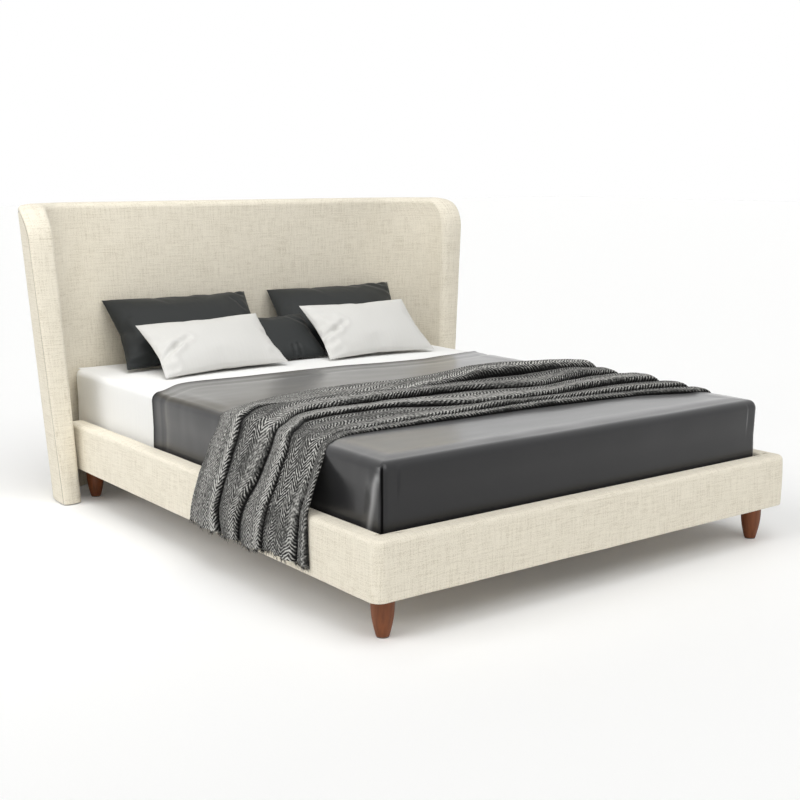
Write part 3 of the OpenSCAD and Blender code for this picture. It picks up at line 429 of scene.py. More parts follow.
def herringbone_wool(name, light, dark):
    """Brushed wool in a herringbone twill: soft, hairy yarns, light over dark, with no shine."""
    material, tree, shader, place, (wander, cloud, tuft) = new_material(
        name, ((YARN_WAVE, YARN_WAVE, THROUGH), 2, 0.5), ((0.16, 0.07, THROUGH), 2, 0.5),
        ((14 * MM, 7.5 * MM, THROUGH), 3, 0.8),
    )
    parts = node(tree, "SeparateXYZ", (place,)).outputs
    # Hairy yarns wander by about 2 mm
    shake = node(tree, "SeparateXYZ", (wander.outputs["Color"],)).outputs
    u, v = (node(tree, "Math", (shake[k], YARN_SHIFT, parts[k]), operation="MULTIPLY_ADD") for k in (0, 1))
    zigzag = node(tree, "Math", (v, TWILL_BAND), operation="PINGPONG")
    ribs = node(tree, "Math", (zigzag, TWILL_SLOPE, u), operation="MULTIPLY_ADD")
    ribs = node(tree, "Math", (ribs, 2 * math.pi / TWILL_RIB), operation="MULTIPLY")
    wave = node(tree, "Math", (ribs,), operation="SINE")
    # The pile hides the ribs in some places and parts over them in others, and it stands in tufts
    clear = node(
        tree, "MapRange", {"Value": cloud, "From Min": 0.4, "From Max": 0.53, "To Min": 0.1, "To Max": 0.46}
    )
    rough = node(tree, "Math", (tuft, 0.545), operation="SUBTRACT")
    rough = node(tree, "Math", (rough, 2.0), operation="MULTIPLY")
    tone = node(tree, "Math", (wave, clear, 0.5), operation="MULTIPLY_ADD")
    tone = node(tree, "Math", (rough, tone), operation="ADD")
    # The third value of the cloth's place is painted light: painted shade deep in a fold (-1) and a
    # painted highlight near a crest (+1). Between two pleats the pile is painted dark, on a crest pale
    tone = node(tree, "Math", (parts[2], 0.3, tone), operation="MULTIPLY_ADD")
    middle = [a * 0.84 + b * 0.16 for a, b in zip(dark, light)]
    colour = node(tree, "ValToRGB", (tone,), [(0.12, dark), (0.5, middle), (1.0, light)])
    # Deep in the folds the colour is painted nearly black: painted shade
    pressed = node(tree, "MapRange", {"Value": parts[2], "From Min": -0.35, "From Max": -0.75})
    colour = node(tree, "Mix", {0: pressed, 6: colour, 7: rgba(tinted(dark, 0.5))}, data_type="RGBA")
    node(tree, shader, {
        "Base Color": colour, "Roughness": 0.95, "Specular IOR Level": 0.2, "Sheen Weight": 0.04,
        "Sheen Roughness": 0.6,
        "Normal": node(tree, "Bump", {"Height": tone, "Distance": 2.5 * MM, "Strength": 0.7}),
    })
    return material


def grained(name, layers, shares, stops, relief, roughness, sockets=()):
    """A hard finish, coloured by two layers of grain; the shares weigh them.

    relief holds which of them stands out (both where it is None), how far and how strongly. A pair as
    roughness is the one in the dark and in the pale grains of the first layer."""
    material, tree, shader, _, grains = new_material(name, *layers, cloth=False)
    mixed = node(tree, "Math", (grains[1], shares[1]), operation="MULTIPLY")
    mixed = node(tree, "Math", (grains[0], shares[0], mixed), operation="MULTIPLY_ADD")
    raised, distance, strength = relief
    height = mixed if raised is None else grains[raised]
    if isinstance(roughness, tuple):
        low, high = roughness
        roughness = node(tree, "MapRange", {"Value": grains[0], "To Min": low, "To Max": high})
    node(tree, shader, {
        "Base Color": node(tree, "ValToRGB", (mixed,), stops), "Roughness": roughness,
        "Normal": node(tree, "Bump", {"Height": height, "Distance": distance, "Strength": strength}),
        **dict(sockets),
    })
    return material


def varnished_walnut(name, ground):
    """Turned walnut under satin varnish: long dark pores along the leg, and a soft clear gloss."""
    # Pores 1.2 mm wide and growth rings about 8 mm apart, both drawn out along the leg
    return grained(
        name, (((1.2 * MM, 1.2 * MM, 0.03), 2, 0.6), ((0.01, 0.01, 0.16), 2, 0.5)), (0.3, 0.7),
        [(0.3, tinted(ground, 0.62)), (0.5, ground), (0.72, tinted(ground, 1.3))], (0, 0.2 * MM, 0.3), 0.55,
        {"IOR": 1.4, "Coat Weight": 0.1, "Coat Roughness": 0.3},
    )


def sawn_wood(name, ground, along, grain_mm):
    """Planed softwood or plywood veneer, bare: pale, matt, with streaks of late wood along the board."""
    size = [grain_mm * MM] * 3
    size[along] = grain_mm * 40 * MM
    return grained(
        name, (([s * 0.2 for s in size], 2, 0.6), (size, 3, 0.55)), (0.3, 0.7),
        [(0.32, tinted(ground, 0.72)), (0.6, ground)], (None, 0.3 * MM, 0.4), 0.7,
    )


def coated_metal(name, ground, metallic, roughness, speck_mm):
    """Steel, powder-coated or zinc-plated: the coat's speckle breaks up its soft highlight."""
    return grained(
        name, (((speck_mm * MM,) * 3, 2, 0.6), ((0.03,) * 3, 2, 0.5)), (0.5, 0.5),
        [(0.3, tinted(ground, 0.8)), (0.7, tinted(ground, 1.15))], (0, 0.1 * MM, 0.4),
        (roughness - 0.06, roughness + 0.08), {"Metallic": metallic},
    )


def matted_fibre(name, ground, fibre_mm):
    """Pressed or spun fibre, such as felt or a non-woven dust cover: matt and faintly mottled."""
    return grained(
        name, (((fibre_mm * MM,) * 3, 3, 0.7), ((0.06,) * 3, 2, 0.5)), (0.6, 0.4),
        [(0.35, tinted(ground, 0.88)), (0.68, tinted(ground, 1.06))], (0, 0.4 * MM, 0.5), 0.92,
    )


def moulded_nylon(name, ground):
    """Black nylon from a mould: a fine spark-eroded grain and a low, wide gloss."""
    material, tree, shader, _, (grain,) = new_material(name, ((0.8 * MM,) * 3, 2, 0.6), cloth=False)
    node(tree, shader, {
        "Base Color": node(tree, "ValToRGB", (grain,), [(0.3, tinted(ground, 0.8)), (0.7, ground)]),
        "Roughness": 0.5, "IOR": 1.53,
        "Normal": node(tree, "Bump", {"Height": grain, "Distance": 0.08 * MM, "Strength": 0.4}),
    })
    return material


# Headboard

OUT, IN = 0, 1


def wall_xy(face, z, s, inset):
    """Points at distance s along a wall of the headboard, from the wings' front plane at the floor."""
    if face == OUT:
        half = BASE_OUT_X - inset + SPREAD_OUT * z / HEAD_H
        back, r = BACK_Y - inset, OUTER_R - inset
    else:
        half = BASE_IN_X + inset + WING_SPREAD * z / HEAD_H
        back, r = PANEL_Y + inset, INNER_R + inset
    straight = back - r - WING_Y
    angle = np.maximum(s - straight, 0) / r
    x = half - r + r * np.cos(angle)
    y = np.where(s <= straight, WING_Y + s, back - r + r * np.sin(angle))
    return x, y


def wall_start(face, y, inset=0.0):
    back, r = (BACK_Y - inset, OUTER_R - inset) if face == OUT else (PANEL_Y + inset, INNER_R + inset)
    arc = back - r
    return y - WING_Y if y <= arc else arc - WING_Y + r * math.asin((y - arc) / r)


def wall_end(face):
    r, back = (OUTER_R, BACK_Y) if face == OUT else (INNER_R, PANEL_Y)
    return back - r - WING_Y + r * math.pi / 2


# Distances of the first columns from the front edge, outside and inside; outside they are close at the seam
NOSE_OUT = np.array([0, 1, 2.5, 4.5, 7, 9.5, 11.5, 13, 13.6, 14, 14.4, 15, 16.5, 19, 24, 30]) * MM
NOSE_IN = NOSE_R * np.array([
    0, 0.015, 0.05, 0.1, 0.16, 0.23, 0.31, 0.4, 0.48, 0.56, 0.64, 0.72, 0.8, 0.87, 0.94, 1
])
SEAM_INDEX, SEAM_END = 9, 14.4 * MM
WALL_COLS, MIDDLE_COLS, FRONT_COLS = 36, 12, 7
FRONT_EDGE_R, FRONT_BULGE = 0.009, 0.003
NO_SEAM = 0.05


def headboard_levels():
    """Heights of the rings, close together at the seam, the crest and the wings' rounded corner."""
    straight = np.linspace(GLIDE_H, HEAD_H - WING_CORNER_R, 30)
    corner = HEAD_H - WING_CORNER_R + WING_CORNER_R * np.sin(np.radians(np.arange(5, 86, 5)))
    crest = HEAD_H - CREST_R * (1 - np.sin(np.radians([0, 15, 30, 45, 60, 75, 90])))
    seam = HEAD_H - CREST_R + np.array([-7, -4, -2, -1, -0.4, 0, 0.4, 1, 2, 4]) * MM
    levels = np.unique(np.round(np.concatenate([straight, corner, crest, seam]), 5))
    keep = [levels[0]]
    for z in levels[1:]:
        if z - keep[-1] > 0.35 * MM:
            keep.append(z)
    return np.array(keep)


def headboard_surface(groove):
    """Whole outer surface of the headboard, and which faces belong to the wings' outer skin."""
    levels = headboard_levels()
    span = np.arange(1, WALL_COLS + 1) / WALL_COLS
    middle = np.arange(1, MIDDLE_COLS + 1) / MIDDLE_COLS
    rows, sheet = [], []
    for z in levels:
        lift = max(0.0, z - (HEAD_H - WING_CORNER_R)) / WING_CORNER_R
        corner = WING_CORNER_R * (1 - math.sqrt(max(0.0, 1 - min(lift, 1) ** 2)))
        front = WING_Y + WING_SET_BACK * z / HEAD_H + corner
        rise = float(bevel(CREST_R, HEAD_H - z))
        slope = math.sqrt(max(0.0, 1 - min(lift, 1) ** 2))
        half = []
        for face, nose in ((OUT, NOSE_OUT), (IN, NOSE_IN)):
            stretch = 1 / max(slope, 0.5) if face == OUT else 1
            start = wall_start(face, front)
            offset = nose + (stretch - 1) * np.minimum(nose, SEAM_END)
            end = wall_end(face)
            s = np.concatenate([start + offset, start + offset[-1] + (end - start - offset[-1]) * span])
            radius = FRONT_EDGE_R if face == OUT else NOSE_R
            inset = rise + bevel(radius, s - start)
            if face == OUT:
                seam = start + SEAM_BACK * stretch
                below = HEAD_H - CREST_R - z
                if below > 0:
                    near = np.where(s > seam, np.minimum(s - seam, below), seam - s)
                else:
                    near = np.hypot(np.maximum(seam - s, 0), below)
                inset = inset + groove * np.exp(-((near / (3.2 * MM)) ** 2))
            else:
                near = np.full(len(s), NO_SEAM)
            x, y = wall_xy(face, z, s, inset)
            x = np.concatenate([x, x[-1] * (1 - middle)])
            y = np.concatenate([y, np.full(MIDDLE_COLS, y[-1])])
            length = np.concatenate([s - start, (s[-1] - start) + (x[len(s) - 1] - x[len(s):])])
            near = np.append(near, np.full(MIDDLE_COLS, near[-1]))
            half.append((x, y, length, np.minimum(near, NO_SEAM)))
        (xo, yo, lo, no), (xi, yi, li, ni) = half
        t = np.arange(1, FRONT_COLS + 1) / (FRONT_COLS + 1)
        bulge = FRONT_BULGE * np.sin(np.pi * t)
        xs = xo[0] + (xi[0] - xo[0]) * t
        ys = yo[0] + (yi[0] - yo[0]) * t - bulge * slope
        width = abs(xo[0] - xi[0])
        x = np.concatenate([xo[::-1], xs, xi])
        y = np.concatenate([yo[::-1], ys, yi])
        zz = np.full(len(x), z)
        zz[len(xo):len(xo) + FRONT_COLS] += bulge * lift
        u = np.concatenate([-lo[::-1] - width, -width * (1 - t), li])
        rows.append(np.stack([x, y, zz], 1))
        sheet.append(np.stack([u, np.full(len(x), z), np.concatenate([no[::-1], 0 * t + NO_SEAM, ni])], 1))
    ring = np.array(rows)
    flat = np.array(sheet)
    # The cloth is measured from the middle of the bed, so that both halves meet there
    flat[:, :, 0] = flat[len(levels) // 3, -1, 0] - flat[len(levels) // 3, :, 0]
    count = len(NOSE_OUT) + WALL_COLS + MIDDLE_COLS
    # The crest's cap joins the outer columns to the inner ones through the front strip's columns
    top, flat_top = ring[-1], flat[-1]
    outer_top, inner_top = top[:count][::-1], top[count + FRONT_COLS:]
    t = np.arange(0, FRONT_COLS + 2) / (FRONT_COLS + 1)
    cap = outer_top[:, None] * (1 - t[:, None]) + inner_top[:, None] * t[:, None]
    cap[:, :, 2] += FRONT_BULGE * np.sin(np.pi * t)
    cap_flat = np.zeros_like(cap)
    cap_flat[:, :, 0] = flat_top[count + FRONT_COLS:, 0][:, None]
    cap_flat[:, :, 1] = HEAD_H + np.linalg.norm(cap - outer_top[:, None], axis=2)
    cap_flat[:, :, 2] = NO_SEAM
    faces = grid_faces(*ring.shape[:2])
    cols = ring.shape[1] - 1
    row_z = levels[np.arange(len(faces)) // cols]
    col = np.arange(len(faces)) % cols
    from_front = count - 1 - col
    low = row_z < HEAD_H - CREST_R - 0.1 * MM
    back_gap = low & (from_front > len(NOSE_OUT) + WALL_COLS - 1)
    skin = low & (from_front > SEAM_INDEX) & ~back_gap
    body = (ring.reshape(-1, 3), faces, flat.reshape(-1, 3))
    lid = (cap.reshape(-1, 3), grid_faces(*cap.shape[:2]), cap_flat.reshape(-1, 3))
    return body, skin, back_gap, lid


def uneven(points, faces, amount, size, seed, keep=1.0):
    """Moves points along their normals, as foam under a cover does."""
    shift = smooth_noise(points, size, seed) * amount * keep
    return points + point_normals(points, faces) * shift[:, None]


def mirrored(patch):
    points, faces, cloth = patch
    return points * [-1, 1, 1], faces[:, ::-1], cloth * [-1, 1, 1]


COVER_T = 4 * MM


def add_headboard(context):
    sizes = context.scene.bed_sizes
    body, skin, back_gap, lid = headboard_surface(sizes.groove)
    points, faces, cloth = body
    linen = finish("linen")
    wing = compact(points, faces[skin], cloth)
    pad = compact(points, faces[~skin & ~back_gap], cloth)
    whole = welded([pad, lid, mirrored(pad), mirrored(lid)])
    whole = (uneven(whole[0], whole[1], 0.9 * MM, 0.16, 1), whole[1], whole[2])
    for name, patch, cad in (
        ("headboard_cover", whole, "headboard_pad"),
        ("wing_skin_right", wing, "wing_border_right"),
        ("wing_skin_left", mirrored(wing), "wing_border_left"),
    ):
        p, f, c = patch
        # The faces have to look outwards: forwards along the wings' front edge, and sideways on their skins
        normals, centres = face_normals(p, f), p[f].mean(1)
        if cad == "headboard_pad":
            outward = -normals[centres[:, 1] < WING_Y + 2 * MM, 1].sum()
        else:
            outward = (normals[:, 0] * np.sign(centres[:, 0]))[np.abs(centres[:, 0]) > RAIL_OUT_X].sum()
        obj = make_object(name, *thickened(p, f if outward > 0 else f[:, ::-1], c, COVER_T))
        dress(obj, linen, "linen", cad)


# Rails

def rail_levels(puff):
    """(outer inset, inner inset, height) of the rings of a rail, from its underside to its top."""
    levels = [(0.022, 0.016, 0.0), (RAIL_WRAP_R, 0.004, 0.0)]
    for a in map(math.radians, (60, 30, 0)):
        r, c = RAIL_WRAP_R, 1 - math.cos(a)
        levels.append((r * c, r * 0.5 * c, r * (1 - math.sin(a))))
    low, high = RAIL_WRAP_R, RAIL_H - RAIL_EDGE_R
    for t in np.linspace(0.06, 0.94, 12):
        levels.append((-puff * math.sin(math.pi * t), 0.0, low + (high - low) * t))
    for a in np.arange(0, 91, 10):
        r, q = RAIL_EDGE_R, RAIL_LIP_R
        s, c = math.sin(math.radians(a)), math.cos(math.radians(a))
        levels.append((r * (1 - c), q * (1 - c), RAIL_H - r + r * s))
    for t in (0.25, 0.5, 0.75, 0.96):
        rise = 1.2 * MM * math.sin(math.pi / 2 * t)
        levels.append((RAIL_EDGE_R + 0.02 * t, RAIL_LIP_R + 0.017 * t, RAIL_H + rise))
    return levels


def foot_rail_rings(levels, groove):
    """Rings of the foot rail, round its two ends, with the seams drawn in behind the corners."""
    rings = []
    seam_y = FOOT_Y + RAIL_T
    along = np.array([0, 0.6, 1.5, 3, 5, 9, 15, 25]) * MM
    corner = np.radians(np.arange(0, 91, 7.5))
    front = np.linspace(-1, 1, 61)[1:-1]
    for out, inner, z in levels:
        x0 = RAIL_OUT_X - out
        draw = groove * np.exp(-((along / (2.6 * MM)) ** 2))
        r = max(RAIL_CORNER_R - out, 0.004)
        left = np.stack([-(x0 - draw), seam_y - along], 1)
        arc = np.stack([-(x0 - r + r * np.cos(corner)), FOOT_Y + out + r - r * np.sin(corner)], 1)
        flat = np.stack([front * (x0 - r), np.full(len(front), FOOT_Y + out)], 1)
        path = np.concatenate([left, arc, flat, (arc * [-1, 1])[::-1], (left * [-1, 1])[::-1]])
        # The two covers are sewn together at the seam, so this one runs a little into the other
        share = np.linspace(-1, 1, len(path))
        back = np.stack([share * (x0 - draw[0] - 0.004), np.full(len(path), seam_y - inner)], 1)
        back[[0, -1], 1] = path[[0, -1], 1] = seam_y + 0.8 * MM
        plan = np.concatenate([path, back[::-1]])
        rings.append(np.column_stack([plan, np.full(len(plan), RAIL_UNDERSIDE + z)]))
    return rings


def side_rail_rings(levels, groove):
    start = FOOT_Y + RAIL_T + TOUCH
    ends = np.array([0, 0.6, 1.5, 3, 5, 9, 15, 25]) * MM
    along = np.concatenate([start + ends, np.linspace(start + 0.05, COVER_END_Y, 60)])
    draw = groove * np.exp(-(((along - start) / (2.6 * MM)) ** 2))
    rings = []
    for out, inner, z in levels:
        right = np.stack([RAIL_OUT_X - out - draw, along], 1)
        left = np.stack([np.full(len(along), RAIL_IN_X + inner), along], 1)
        plan = np.concatenate([right, left[::-1]])
        rings.append(np.column_stack([plan, np.full(len(plan), RAIL_UNDERSIDE + z)]))
    return rings


def ring_cloth(rings):
    """Flat cloth place: the way round the ring, and the way up over the levels."""
    rings = np.asarray(rings, float)
    widest = rings[len(rings) // 3]
    u = lengths(widest)
    v = lengths(rings[:, rings.shape[1] // 4])
    return np.stack(np.broadcast_arrays(u[None, :], v[:, None], NO_SEAM), 2).reshape(-1, 3)


def add_rails(context):
    sizes = context.scene.bed_sizes
    linen = finish("linen")
    levels = rail_levels(sizes.puff)
    seam = 0.1 * sizes.groove
    side = side_rail_rings(levels, seam)
    mirror = [r * [-1, 1, 1] for r in side]
    for name, rings, cad in (
        ("foot_rail_upholstery", foot_rail_rings(levels, seam), "foot_rail_cover"),
        ("side_rail_upholstery_right", side, "side_rail_cover_right"),
        ("side_rail_upholstery_left", mirror, "side_rail_cover_left"),
    ):
        points, faces = loft(rings)
        faces = closed_right(points, faces)
        low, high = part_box(cad)
        inside = high[1] - points[:, 1]
        if "side" in name:
            inside = np.minimum(inside, points[:, 1] - low[1])
        keep = np.clip(inside / 0.03, 0, 1)
        points = uneven(points, faces, 0.7 * MM, 0.12, 4, keep)
        obj = make_object(name, points, faces, ring_cloth(rings))
        dress(obj, linen, "linen", cad)


# Legs

LEG_TOP_D, LEG_FOOT_D, LEG_BELLY, FELT_T, LEG_INSET = 0.065, 0.038, 0.005, 0.003, 0.076
BOARD_END_Y = COVER_END_Y + 0.054
LEG_SIDES = 64


def leg_radius(t):
    return LEG_FOOT_D / 2 + (LEG_TOP_D - LEG_FOOT_D) / 2 * t + LEG_BELLY * math.sin(math.pi * t)


def add_legs(context):
    walnut = finish("walnut")
    h = RAIL_UNDERSIDE - FELT_T
    lip = 2 * MM
    profile = [(0.0, 0.0), (LEG_FOOT_D / 2 - lip, 0.0)]
    profile += [(LEG_FOOT_D / 2 - lip * (1 - math.sin(a)), lip * (1 - math.cos(a))) for a in (0.4, 0.8, 1.2)]
    profile += [(leg_radius(t), lip + (h - 2 * lip) * t) for t in np.linspace(0, 1, 28)]
    profile += [
        (LEG_TOP_D / 2 - lip * (1 - math.cos(a)), h - lip + lip * math.sin(a)) for a in (0.5, 1.0, 1.57)
    ]
    profile += [(0.0, h)]
    turn = np.linspace(0, 2 * math.pi, LEG_SIDES, endpoint=False)
    r, z = np.array(profile).T[:, :, None]
    grid = np.stack(np.broadcast_arrays(r * np.cos(turn), r * np.sin(turn), z + FELT_T), 2)
    flat = np.stack(np.broadcast_arrays(turn * 0.03, z, 0.0), 2)
    faces = grid_faces(len(r), LEG_SIDES, closed=True)
    points, faces, cloth = welded([(grid.reshape(-1, 3), faces, flat.reshape(-1, 3))], 0.02 * MM)
    x = RAIL_OUT_X - LEG_INSET
    for end, y in (("foot", FOOT_Y + LEG_INSET), ("head", BOARD_END_Y - 0.098)):
        for side, sx in (("left", -x), ("right", x)):
            obj = make_object(f"turned_leg_{end}_{side}", points + [sx, y, 0], faces, cloth)
            dress(obj, walnut, "walnut", f"leg_{end}_{side}")


# Mattress and sheets

def crown(inset):
    shares, rises = zip(*CROWN_SHARES)
    return MATTRESS_CROWN * np.interp(np.asarray(inset) / MATTRESS_W, shares, rises)


def block_outline(inset, cuts, head_open=None):
    """Plan of the mattress, drawn in by an inset, as a right-hand half from the foot to the head."""
    x = MATTRESS_W / 2 - inset
    y0, y1 = MATTRESS_FOOT_Y + inset, MATTRESS_HEAD_Y - inset
    r0 = max(MATTRESS_FOOT_R - inset, MATTRESS_EDGE_R / 4)
    r1 = max(MATTRESS_HEAD_R - inset, MATTRESS_EDGE_R / 4)
    turn = np.radians(np.linspace(0, 90, 13))
    foot = np.stack([x - r0 + r0 * np.sin(turn), y0 + r0 - r0 * np.cos(turn)], 1)
    head = np.stack([x - r1 + r1 * np.cos(turn), y1 - r1 + r1 * np.sin(turn)], 1)
    bottom = np.stack([np.linspace(0, 1, cuts[0])[:-1] * (x - r0), np.full(cuts[0] - 1, y0)], 1)
    side_y = np.linspace(y0 + r0, y1 - r1, cuts[1])[1:-1]
    side = np.stack([np.full(len(side_y), x), side_y], 1)
    top = np.stack([(x - r1) * np.linspace(1, 0, cuts[0])[1:], np.full(cuts[0] - 1, y1)], 1)
    return np.concatenate([bottom, foot, side, head, top])


def side_levels(grow, low, count=14):
    """(inset, height) pairs up the side of the mattress and round its shoulder."""
    r = MATTRESS_EDGE_R + grow
    top = MATTRESS_TOP - MATTRESS_CROWN + grow
    t = np.linspace(0, 1, count)
    heights = low + (top - r - low) * t
    middle = (MATTRESS_Z + MATTRESS_H / 2 - low) / (top - r - low)
    draw = MATTRESS_DRAW * np.where(t < middle, t / middle, (1 - t) / (1 - middle))
    walls = [(d - grow, z) for d, z in zip(draw, heights)]
    arc = [(r * (1 - math.cos(a)) - grow, top - r + r * math.sin(a)) for a in np.radians(np.arange(9, 91, 9))]
    return walls + arc


def add_mattress(context):
    levels = [(0.03, MATTRESS_Z)]
    levels += [
        (MATTRESS_EDGE_R * (1 - math.cos(a)), MATTRESS_Z + MATTRESS_EDGE_R * (1 - math.sin(a)))
        for a in np.radians([90, 70, 50, 30, 10])
    ]
    levels += side_levels(0, MATTRESS_Z + MATTRESS_EDGE_R)[1:]
    levels += [
        (MATTRESS_EDGE_R + d, MATTRESS_TOP - MATTRESS_CROWN + float(crown(d)))
        for d in (0.03, 0.09, 0.2, 0.4, 0.7)
    ]
    rings = []
    for inset, z in levels:
        half = block_outline(inset, (16, 26))
        ring = np.concatenate([half, (half * [-1, 1])[::-1]])
        rings.append(np.column_stack([ring, np.full(len(ring), z)]))
    points, faces = loft(rings)
    # Tape binds the border to the panels: two raised cords, just below and above the rounded edges
    for tape in (MATTRESS_Z + MATTRESS_EDGE_R, MATTRESS_TOP - MATTRESS_CROWN - MATTRESS_EDGE_R):
        near = np.exp(-(((points[:, 2] - tape) / (4 * MM)) ** 2)) * (np.abs(points[:, 0]) < MATTRESS_W)
        points[:, :2] -= points[:, :2] * (near * 1.2 * MM)[:, None]
    obj = make_object("mattress_ticking", points, closed_right(points, faces), ring_cloth(rings))
    dress(obj, finish("ticking"), "white_cotton", "mattress")


def flat_edge_y(x):
    """Where the flat sheet's head edge runs, measured along the bed at a distance from its middle."""
    shares = [
        (-1.2, 0.648), (-1, 0.645), (-0.97, 0.645), (-0.93, 0.655), (-0.87, 0.677), (-0.8, 0.693),
        (-0.73, 0.694), (-0.67, 0.689), (-0.45, 0.682), (0.06, 0.684), (0.28, 0.667), (0.55, 0.66),
        (0.84, 0.683), (0.92, 0.694), (1, 0.7), (1.2, 0.7),
    ]
    xs, ys = zip(*shares)
    fine = np.linspace(-1.2, 1.2, 241)
    smooth = np.convolve(np.pad(np.interp(fine, xs, ys), 4, "edge"), np.ones(9) / 9, "valid")
    return MATTRESS_FOOT_Y + MATTRESS_L * np.interp(np.asarray(x) / (MATTRESS_W / 2), fine, smooth)


CORNER_R = 0.017


def spread(length, step, both=True):
    """Shares from 0 to 1, a step apart and closer towards 1, or towards both ends."""
    near = np.cumsum([0] + [2.5 * MM] * 8 + [4 * MM] * 6 + [6 * MM] * 5 + [9 * MM] * 4)
    near = near[near < length / 2 - step]
    low = near if both else near[:1]
    middle = np.linspace(low[-1], length - near[-1], max(int((length - low[-1] - near[-1]) / step), 2))
    return np.concatenate([low[:-1], middle, length - near[::-1][1:]]) / length


def block_sheet(grow, low, edge, step):
    """A sheet over the mattress, as (points, faces, cloth): its sides and shoulders, then its top.

    edge gives the y of the head edge at x, or None where the sheet covers the whole mattress."""
    levels = side_levels(grow, low)
    shoulder = levels[-1][0]
    half = MATTRESS_W / 2
    a = half - shoulder
    foot = MATTRESS_FOOT_Y + shoulder
    head = MATTRESS_HEAD_Y - shoulder
    xs = a * (2 * spread(2 * a, step) - 1)
    ends = np.full(len(xs), head) if edge is None else edge(xs)
    share = spread(ends.mean() - foot, step, both=False)
    rows = len(share)
    top_x = np.broadcast_to(xs, (rows, len(xs)))
    top_y = ends[None, :] + (foot - ends[None, :]) * share[:, None]
    inset = np.minimum(a - np.abs(top_x), top_y - foot)
    if edge is None:
        inset = np.minimum(inset, head - top_y)
    z = MATTRESS_TOP - MATTRESS_CROWN + grow + crown(np.maximum(inset, 0))
    top = np.stack([top_x, top_y, z], 2)
    reach = np.zeros_like(top_y) + 9 if edge is None else ends[None, :] - top_y
    top_flat = np.stack([top_x, top_y, reach], 2)

    # Plan of one ring of the sides: down the left, along the foot, up the right (and along the head).
    # A folded sheet is drawn tighter round the foot corners than the mattress below it
    corner, turns = (MATTRESS_FOOT_R, 9) if edge is None else (CORNER_R, 25)
    turn = np.radians(np.linspace(0, 90, turns))

    def ring(inset_now):
        x = half - inset_now
        y0 = MATTRESS_FOOT_Y + inset_now
        y1 = MATTRESS_HEAD_Y - inset_now
        r0 = max(corner - inset_now, MATTRESS_EDGE_R / 4)
        keep = y0 + r0
        r1 = max(MATTRESS_HEAD_R - inset_now, MATTRESS_EDGE_R / 4)
        if edge is None:
            left_y = (y1 - r1) + (keep - y1 + r1) * share
            right_y = left_y
        else:
            left_y = ends[0] + (keep - ends[0]) * share
            right_y = ends[-1] + (keep - ends[-1]) * share
        left = np.stack([np.full(rows, -x), left_y], 1)
        arc = np.stack([-(x - r0 + r0 * np.cos(turn)), y0 + r0 - r0 * np.sin(turn)], 1)[1:-1]
        low_x = xs / a * (x - r0)
        bottom = np.stack([low_x, np.full(len(xs), y0)], 1)
        right = np.stack([np.full(rows, x), right_y], 1)[::-1]
        parts = [left, arc, bottom, (arc * [-1, 1])[::-1], right]
        if edge is None:
            head_arc = np.stack([x - r1 + r1 * np.cos(turn), y1 - r1 + r1 * np.sin(turn)], 1)[1:-1]
            upper = np.stack([(xs / a * (x - r1))[::-1], np.full(len(xs), y1)], 1)
            parts += [head_arc, upper, (head_arc * [-1, 1])[::-1], left[:1]]
        return np.concatenate(parts)

    rings = np.array([np.column_stack([ring(e), np.full(len(ring(e)), z)]) for e, z in levels])
    u = lengths(rings[0])
    v = lengths(rings[:, len(u) // 2])
    total = u[-1]
    far = np.minimum(u, total - u) if edge is not None else np.full(len(u), 9.0)
    side_flat = np.stack(np.broadcast_arrays(u[None], v[:, None], far[None]), 2)
    # The top row of the sides is drawn onto the top's rim, so that the two weld
    bend = turns - 2
    rim = np.concatenate([
        top[:, 0], np.repeat(top[-1:, 0], bend, 0), top[-1], np.repeat(top[-1:, -1], bend, 0), top[::-1, -1]
    ])
    if edge is None:
        rim = np.concatenate([
            rim, np.repeat(top[:1, -1], bend, 0), top[0][::-1], np.repeat(top[:1, 0], bend, 0), top[:1, 0]
        ])
    rings[-1] = rim
    sides = (rings.reshape(-1, 3), grid_faces(*rings.shape[:2]), side_flat.reshape(-1, 3))
    lid = (top.reshape(-1, 3), grid_faces(*top.shape[:2])[:, ::-1], top_flat.reshape(-1, 3))
    points, faces, cloth = welded([sides, lid])
    normals = face_normals(points, faces)
    upper = points[faces].mean(1)[:, 2] > MATTRESS_TOP - MATTRESS_CROWN
    if normals[upper, 2].sum() < 0:
        faces = faces[:, ::-1]
    return points, faces, cloth


def add_fitted_sheet(context):
    points, faces, cloth = block_sheet(SHEET_1 + FITTED_T, HEM_Z, None, 0.022)
    normals = point_normals(points, faces)
    x, y, z = points.T
    # Soft wrinkles where the pillows lie and down the sides near the head
    area = np.clip((y - flat_edge_y(x)) / 0.05, 0, 1)
    wave = smooth_noise(np.stack([x, y * 2.2, z], 1), 0.09, 11)
    fine = smooth_noise(np.stack([x * 2.0 + y * 0.7, y, z * 0.6], 1), 0.06, 12)
    lift = np.clip(wave * 0.7 + fine * 0.5, -0.8, 1) * 1.1 * MM * area
    points = points + normals * lift[:, None]
    obj = make_object("white_fitted_sheet", *thickened(points, faces, cloth, 1.0 * MM))
    dress(obj, finish("white"), "white_cotton", "fitted_sheet")


